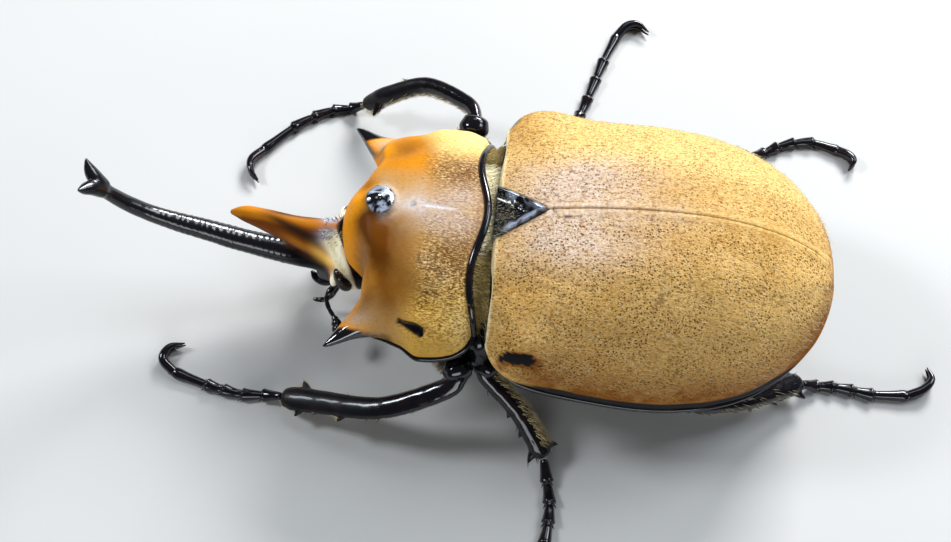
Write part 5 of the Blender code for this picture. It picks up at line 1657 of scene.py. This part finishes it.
def make_leg(word, leg, settings, material):
    """Make the coxa, femur, tibia and foot of one leg, with their hair."""
    side = 1 if leg["coxa"][1] > 0 else -1
    coxa = new_mesh("coxa", ball(leg["coxa"], leg["coxa_size"], 30, 44))
    femur = new_mesh("femur", femur_shape(leg))
    pair = LEG_PAIRS[word.split("_")[0]]
    tibia = melt("tibia", tibia_shape(leg, pair["teeth"], side), settings.leg_net)
    relax(tibia, 1.0, 3)
    push(tibia, grain(points_of(tibia), 1.2, 4) * 0.03)
    leg_hair(word, leg, pair, femur, tibia, side, settings)
    share = limb_place(points_of(tibia), tibia_path(leg))[0]
    add_mask(tibia, "matte", ease(share, 0.45, 0.75) * pair["matte"])
    for mesh, part in ((coxa, "_coxa"), (femur, "_femur"), (tibia, "_tibia")):
        finish(mesh, word + part + "_shell", material, "black_shell", word + part)
    foot = new_mesh("foot", foot_shape(leg))
    finish(foot, word + "_tarsus_joints", material, "black_shell", word + "_tarsus")


def femur_shape(leg):
    """Give a femur from its coxa to the round knee."""
    start, end = np.array(leg["coxa"]), np.array(leg["knee"])
    width, height = leg["femur"]
    stations = []
    for share, size in FEMUR_PROFILE:
        stations.append((*(start + (end - start) * share), width * size, height * size))
    return loft(limb_rings(stations, 80, 44))


def tibia_path(leg):
    """Give the middle line of a tibia, which starts inside the knee."""
    knee, first = np.array(leg["knee"]), np.array(leg["shin"][0])
    return np.vstack([knee + (first - knee) * 0.2, np.array(leg["shin"])])


def tibia_shape(leg, teeth, side):
    """Give a tibia with its outer teeth and spurs as overlapping parts."""
    width, height = leg["tibia"]
    path = tibia_path(leg)
    last = len(path) - 1
    stations = []
    for share, size in TIBIA_PROFILE:
        place = glide(path, share * last)[0]
        stations.append((*place, width * size, height * (0.8 + 0.2 * size)))
    parts = [loft(limb_rings(stations, 100, 44, ridged, 0.8))]
    for share, way, length in teeth:
        shares = np.array((share, share - 0.03, min(share + 0.03, 1)))
        here, before, after = glide(leg["shin"], shares * (last - 1))
        ahead = (after - before) / np.linalg.norm(after - before)
        aside = np.cross((0, 0, 1), ahead)
        aside /= np.linalg.norm(aside)
        if aside[1] * side * way < 0:
            aside = -aside
        tip = here + aside * (width + length * 0.62) + ahead * length * 0.5
        tip[2] = max(tip[2] - 0.4, 0.6)
        root = here + aside * width * 0.3
        parts.append(loft(limb_rings(spike_stations(root, tip, 0.75 + 0.22 * length, ahead), 24, 20)))
    return join(*parts)


def ridged(share, turn):
    """Give the section of a tibia with three faint lengthwise ridges."""
    return 1 + 0.05 * np.cos(3 * turn) * np.sin(np.clip(share, 0, 1) * math.pi)


def spike_stations(root, tip, radius, lean):
    """Give stations of a spine that bends a little on its way to the tip."""
    stations = []
    length = np.linalg.norm(tip - root)
    for share, size in TOOTH_SIZES:
        place = root + (tip - root) * share - lean * math.sin(share * math.pi) * 0.1 * length
        stations.append((*place, radius * size, radius * size))
    return stations


def foot_shape(leg):
    """Give the five foot joints with their spines and the two claws."""
    joints = np.array(leg["foot"], float) + np.array((0, 0, FOOT_HEIGHT))
    parts = []
    for joint in range(5):
        stations = []
        for share, size in JOINT_PROFILE if joint < 4 else CLAW_JOINT_PROFILE:
            place = glide(joints, min(max(joint + share, 0), 5))[0]
            stations.append((*place, TARSUS_RADIUS * size, TARSUS_RADIUS * size))
        parts.append(loft(limb_rings(stations, 34, 28)))
        if joint < 4:
            parts.extend(foot_spines(joints, joint))
    for splay in (-1, 1):
        hook = [(*(joints[-1] + np.array((0, 0, 0.15 * splay))), 0.85, 0.85)]
        for (x, y), size, lift in zip(leg["hook"], (0.8, 0.58, 0.12), (0.45, 0.8, 0.6)):
            hook.append((x, y, FOOT_HEIGHT + 0.45 + 0.8 * lift * splay, size, size))
        parts.append(loft(limb_rings(hook, 44, 20)))
    heel = joints[-1] + (joints[-1] - joints[-2]) / np.linalg.norm(joints[-1] - joints[-2]) * 0.5
    parts.append(ball(heel, (0.75, 0.75, 0.6), 16, 20))
    return flatten(join(*parts))


def foot_spines(joints, joint):
    """Give the spines at the end of one foot joint."""
    before, end, after = glide(joints, (joint + 0.6, joint + 0.86, joint + 1.0))
    ahead = (after - before) / np.linalg.norm(after - before)
    aside = np.cross((0, 0, 1), ahead)
    spines = []
    for way in (-1, 1):
        tip = end + aside * way * (TARSUS_RADIUS + 0.05) + ahead * 1.15
        tip[2] = max(tip[2] - 0.5, 0.25)
        spines.append(loft(limb_rings(spike_stations(end, tip, 0.36, ahead), 10, 8)))
    return spines


def flatten(shape):
    """Keep a foot's points above the floor."""
    points, faces = shape
    points[:, 2] = np.maximum(points[:, 2], 0.0)
    return points, faces


def limb_place(points, path):
    """Give each point's share along a path, its place beside and above it, and the path's two ways."""
    line = glide(path, np.linspace(0, len(path) - 1, 60))
    nearest = ((points[:, None, :] - line[None]) ** 2).sum(axis=2).argmin(axis=1)
    heading, aside = (way[nearest] for way in ways_along(line))
    offset = points - line[nearest]
    return nearest / (len(line) - 1), (offset * aside).sum(axis=1), offset[:, 2], heading, aside


def leg_hair(word, leg, pair, femur, tibia, side, settings):
    """Grow the tan fringes of a femur and a tibia and the black bristles of the tibia."""
    share, across, above, heading, aside = limb_place(points_of(tibia), tibia_path(leg))
    if word.startswith("front"):
        way = np.sign(aside[:, 1:2]) * -side
        below = ease(above, 0.2, -0.4)
        strip = below * ease(share, 0.1, 0.3)
        bristles = ease(share, 0.2, 0.5) * below
    else:
        way = np.sign(aside[:, 0:1])
        inner = (across[:, None] * way)[:, 0] / leg["tibia"][0]
        strip = ease(inner, -0.1, 0.4) * ease(share, 0.02, 0.1) * ease(share, 0.98, 0.85)
        bristles = ease(share, 0.2, 0.5)
    lie = heading * 0.9 + aside * way * 0.5
    for kind, growth, way in (("tibia_hair", strip, lie), ("tibia_bristles", bristles, heading)):
        grow_hair(tibia, kind, growth * pair[kind], way, "black_shell", settings, word + "_" + kind)
    path = np.array((leg["coxa"], leg["knee"]))
    share, across, _, heading, aside = limb_place(points_of(femur), path)
    growth = ease(np.abs(across) / leg["femur"][0], 0.55, 0.85) * ease(share, 0.15, 0.3)
    growth = growth * ease(share, 0.95, 0.85) * pair["femur_hair"]
    lie = heading * 0.6 + aside * np.sign(across)[:, None] * 0.6
    grow_hair(femur, "femur_hair", growth, lie, "black_shell", settings, word + "_femur_hair")


def make_legs(settings):
    """Make all six legs."""
    material = shared("black", black_material, settings)
    for word, leg in LEGS.items():
        make_leg(word, leg, settings, material)


def floor_material():
    """Plain pale floor."""
    material, nodes = start_material("floor")
    colour = nodes.blend(nodes.noise(60.0, 2.0), (0.46, 0.455, 0.44), (0.49, 0.485, 0.47))
    end_material(nodes, colour, 0.8)
    return material


def make_floor():
    """Lay a wide floor at the height of the feet."""
    mesh = bpy.data.meshes.new("floor")
    work = bmesh.new()
    bmesh.ops.create_grid(work, x_segments=1, y_segments=1, size=FLOOR_HALF)
    work.to_mesh(mesh)
    work.free()
    mesh.materials.append(floor_material())
    new_object("floor", mesh)


def add_softbox(name, watts, place, size, colour):
    """Hang a soft light that looks at the beetle, with its place and size in millimetres."""
    data = bpy.data.lights.new(name, "AREA")
    data.shape = "RECTANGLE"
    data.size, data.size_y = size[0] * MM, size[1] * MM
    data.energy = watts
    data.color = colour
    lamp = new_object(name, data)
    place, target = Vector(place) * MM, Vector(LIGHT_TARGET) * MM
    turn = (target - place).to_track_quat("-Z", "Y").to_matrix().to_4x4()
    lamp.matrix_world = Matrix.Translation(place) @ turn


def make_lights(settings):
    """Light the beetle from its right, with soft boxes behind, above, ahead and low on the camera's side."""
    for name, (place, size, colour) in SOFTBOXES.items():
        add_softbox(name, getattr(settings, name + "_watts"), place, size, colour)
    world = bpy.data.worlds.new("studio")
    world.use_nodes = True
    background = world.node_tree.nodes["Background"]
    background.inputs["Color"].default_value = (0.9, 0.94, 1.0, 1.0)
    background.inputs["Strength"].default_value = settings.room_light
    bpy.context.scene.world = world


def make_camera():
    """Set the camera where the photograph was taken from."""
    turn, lift, roll = (math.radians(angle) for angle in (CAMERA_AZIMUTH, CAMERA_ELEVATION, CAMERA_ROLL))
    back = Vector((math.sin(turn) * math.cos(lift), -math.cos(turn) * math.cos(lift), math.sin(lift)))
    right = Vector((math.cos(turn), math.sin(turn), 0.0))
    up = back.cross(right)
    rolled_right = right * math.cos(roll) + up * math.sin(roll)
    rolled_up = up * math.cos(roll) - right * math.sin(roll)
    data = bpy.data.cameras.new("camera")
    data.lens = CAMERA_LENS
    data.clip_start = 0.01
    camera = new_object("camera", data)
    place = (Vector(CAMERA_TARGET) + back * CAMERA_DISTANCE + Vector(ORIGIN)) * MM
    turned = Matrix((rolled_right, rolled_up, back)).transposed().to_4x4()
    camera.matrix_world = Matrix.Translation(place) @ turned
    bpy.context.scene.camera = camera


def colour_property(name, description, default):
    """Make a colour setting in linear numbers."""
    return FloatVectorProperty(
        name=name, description=description, default=default, subtype="COLOR", min=0.0, max=1.0)


def size_property(name, description, default, least=0.0):
    """Make a setting that is one number."""
    return FloatProperty(name=name, description=description, default=default, min=least)


class BeetleSettings(PropertyGroup):
    """Sizes, colours and lights of the beetle."""

    tan: colour_property("Tan", "Velvet of the wing covers", (0.46, 0.25, 0.055))
    ochre: colour_property("Ochre", "Lighter velvet of the wing covers", (0.56, 0.34, 0.11))
    # Worn pile, in a painted lilac sheen.
    rubbed: colour_property("Rubbed", "Wing covers where the pile is worn", (0.60, 0.47, 0.39))
    # Reddish velvet of the edge, darkened as painted shade.
    warm_shaded_edge: colour_property("Warm edge", "Velvet near the outer edge", (0.27, 0.09, 0.008))
    # Paler tone toward the apex, and painted light over the right cover.
    straw: colour_property("Straw", "Paler velvet toward the apex and the flanks", (0.72, 0.45, 0.15))
    pile_light: colour_property("Pile", "Tips of the pile", (0.88, 0.70, 0.36))
    shell_brown: colour_property("Brown shell", "Shell that shows between the pile", (0.17, 0.07, 0.012))
    pit_brown: colour_property("Pits", "Bottom of the pits", (0.075, 0.028, 0.005))
    shell_black: colour_property("Black shell", "Glossy black shell", (0.004, 0.004, 0.006))
    shell_maroon: colour_property("Maroon shell", "Reddish black shell", (0.03, 0.01, 0.008))
    amber: colour_property("Amber", "Front and flanks of the pronotum", (0.54, 0.20, 0.004))
    amber_shade: colour_property("Amber front", "Amber of the pronotum's steep front", (0.90, 0.33, 0.004))
    # Painted reflection: silvery colour of the metallic patches on the knob, the midline and the scutellum's
    # rims.
    glint: colour_property("Glint", "Silvery crust of the pronotum's knob", (0.50, 0.56, 0.70))
    # Brown of the painted shade band, and of fine specks.
    shade_and_speck_brown: colour_property("Brown band", "Dark band behind the pronotum's front", (0.12, 0.035, 0.002))
    gold: colour_property("Gold", "Gold band of the head beside the temples", (0.98, 0.58, 0.11))
    tooth_amber: colour_property("Tooth amber", "Crest of the horn's tooth", (0.44, 0.15, 0.006))
    blue_grey: colour_property("Blue grey", "Bare patch at the root of the tooth", (0.36, 0.40, 0.52))
    amber_deep: colour_property("Deep amber", "Root of the head horn", (0.15, 0.03, 0.0015))
    horn_brown: colour_property("Horn brown", "Brown between horn and tooth", (0.035, 0.012, 0.003))
    # Painted sheen.
    lilac: colour_property("Lilac", "Sheen of the pronotum's rear", (0.41, 0.31, 0.26))
    stroke_brown: colour_property("Strokes", "Short dark strokes of the pronotum", (0.10, 0.045, 0.012))
    pronotum_tan: colour_property("Pronotum tan", "Middle of the pronotum", (0.43, 0.235, 0.06))
    pronotum_sheen: colour_property("Pronotum sheen", "Greyer patches of the pronotum", (0.43, 0.27, 0.12))
    # Brown of the painted shade patches.
    pronotum_shade_brown: colour_property("Pronotum brown", "Darker patch of the pronotum", (0.21, 0.09, 0.02))
    # Paler corners, and painted light on the right flank.
    pale_corner_and_lit_flank: colour_property("Pale corner", "Paler velvet of the rear corners", (0.78, 0.56, 0.20))
    flank_yellow: colour_property("Flank yellow", "Velvet at the rear corners", (0.62, 0.36, 0.06))
    # Grey round the knob and along the midline, and painted sheen at the horn roots.
    halo: colour_property("Halo", "Grey round the knob", (0.50, 0.43, 0.37))
    grey_down: colour_property("Grey down", "Short hair at the scutellum's base", (0.16, 0.15, 0.12))
    golden: colour_property("Golden", "Golden hair", (0.55, 0.38, 0.12))
    leg_hair: colour_property("Leg hair", "Roots of the tan hair of the legs", (0.42, 0.32, 0.15))
    olive: colour_property("Olive", "Hair between pronotum and wing covers", (0.20, 0.16, 0.06))
    cream: colour_property("Cream", "Pale hair at the temples", (0.93, 0.82, 0.5))
    cream_light: colour_property("Light cream", "Tips of the cream hair", (1.0, 0.94, 0.70))
    eye_brown: colour_property("Eye brown", "Dark brown of the eyes", (0.05, 0.025, 0.01))
    pronotum_net: size_property("Pronotum net", "Face size in millimetres", 0.26, 0.1)
    head_net: size_property("Head net", "Face size in millimetres", 0.2, 0.1)
    leg_net: size_property("Leg net", "Face size in millimetres", 0.17, 0.1)
    key_watts: size_property("Key light", "Watts of the light from the beetle's right", 6.0)
    fill_watts: size_property("Fill light", "Watts of the low light on the camera's side", 0.8)
    behind_watts: size_property("Light behind", "Watts of the light from behind", 1.8)
    above_watts: size_property("Light above", "Watts of the high light", 0.6)
    ahead_watts: size_property("Light ahead", "Watts of the light from ahead", 1.9)
    room_light: size_property("Room light", "Strength of the room's light", 0.08)


class MakeElytra(Operator):
    """Make both wing covers and the scutellum"""

    bl_idname = "beetle.elytra"
    bl_label = "Wing covers"

    def execute(self, context):
        settings = context.scene.beetle
        for side, word in SIDES:
            make_elytron(side, word, settings)
        make_scutellum(settings)
        make_margins(settings)
        return {"FINISHED"}


class MakePronotum(Operator):
    """Make the pronotum with its side horns"""

    bl_idname = "beetle.pronotum"
    bl_label = "Pronotum"

    def execute(self, context):
        make_pronotum(context.scene.beetle)
        make_collar(context.scene.beetle)
        return {"FINISHED"}


class MakeHead(Operator):
    """Make the head, its horn, the eyes and the mouthparts"""

    bl_idname = "beetle.head"
    bl_label = "Head"

    def execute(self, context):
        settings = context.scene.beetle
        make_head(settings)
        make_eyes(settings)
        make_mouthparts(settings)
        return {"FINISHED"}


class MakeTrunk(Operator):
    """Make the body under the wing covers"""

    bl_idname = "beetle.trunk"
    bl_label = "Underside"

    def execute(self, context):
        make_trunk(context.scene.beetle)
        return {"FINISHED"}


class MakeLegs(Operator):
    """Make the six legs"""

    bl_idname = "beetle.legs"
    bl_label = "Legs"

    def execute(self, context):
        make_legs(context.scene.beetle)
        return {"FINISHED"}


class MakeStage(Operator):
    """Make the floor, the lights and the camera"""

    bl_idname = "beetle.stage"
    bl_label = "Stage"

    def execute(self, context):
        make_floor()
        make_lights(context.scene.beetle)
        make_camera()
        context.scene.view_settings.view_transform = "Standard"
        return {"FINISHED"}


class BeetlePanel(Panel):
    """Lists the beetle's pieces in the sidebar"""

    bl_idname = "VIEW3D_PT_beetle"
    bl_label = "Elephant beetle"
    bl_space_type = "VIEW_3D"
    bl_region_type = "UI"
    bl_category = "Beetle"

    def draw(self, context):
        for operator in OPERATORS:
            self.layout.operator(operator.bl_idname)
        for name in BeetleSettings.__annotations__:
            self.layout.prop(context.scene.beetle, name)


OPERATORS = (MakeElytra, MakePronotum, MakeHead, MakeTrunk, MakeLegs, MakeStage)
CLASSES = (BeetleSettings, *OPERATORS, BeetlePanel)


def register():
    """Register the add-on's classes and its settings."""
    for item in CLASSES:
        bpy.utils.register_class(item)
    bpy.types.Scene.beetle = PointerProperty(type=BeetleSettings)


def unregister():
    """Take the add-on's classes and its settings out again."""
    del bpy.types.Scene.beetle
    for item in reversed(CLASSES):
        bpy.utils.unregister_class(item)


def main():
    """Make every piece in order."""
    register()
    bpy.ops.beetle.elytra()
    bpy.ops.beetle.pronotum()
    bpy.ops.beetle.head()
    bpy.ops.beetle.trunk()
    bpy.ops.beetle.legs()
    bpy.ops.beetle.stage()


if __name__ == "__main__":
    main()
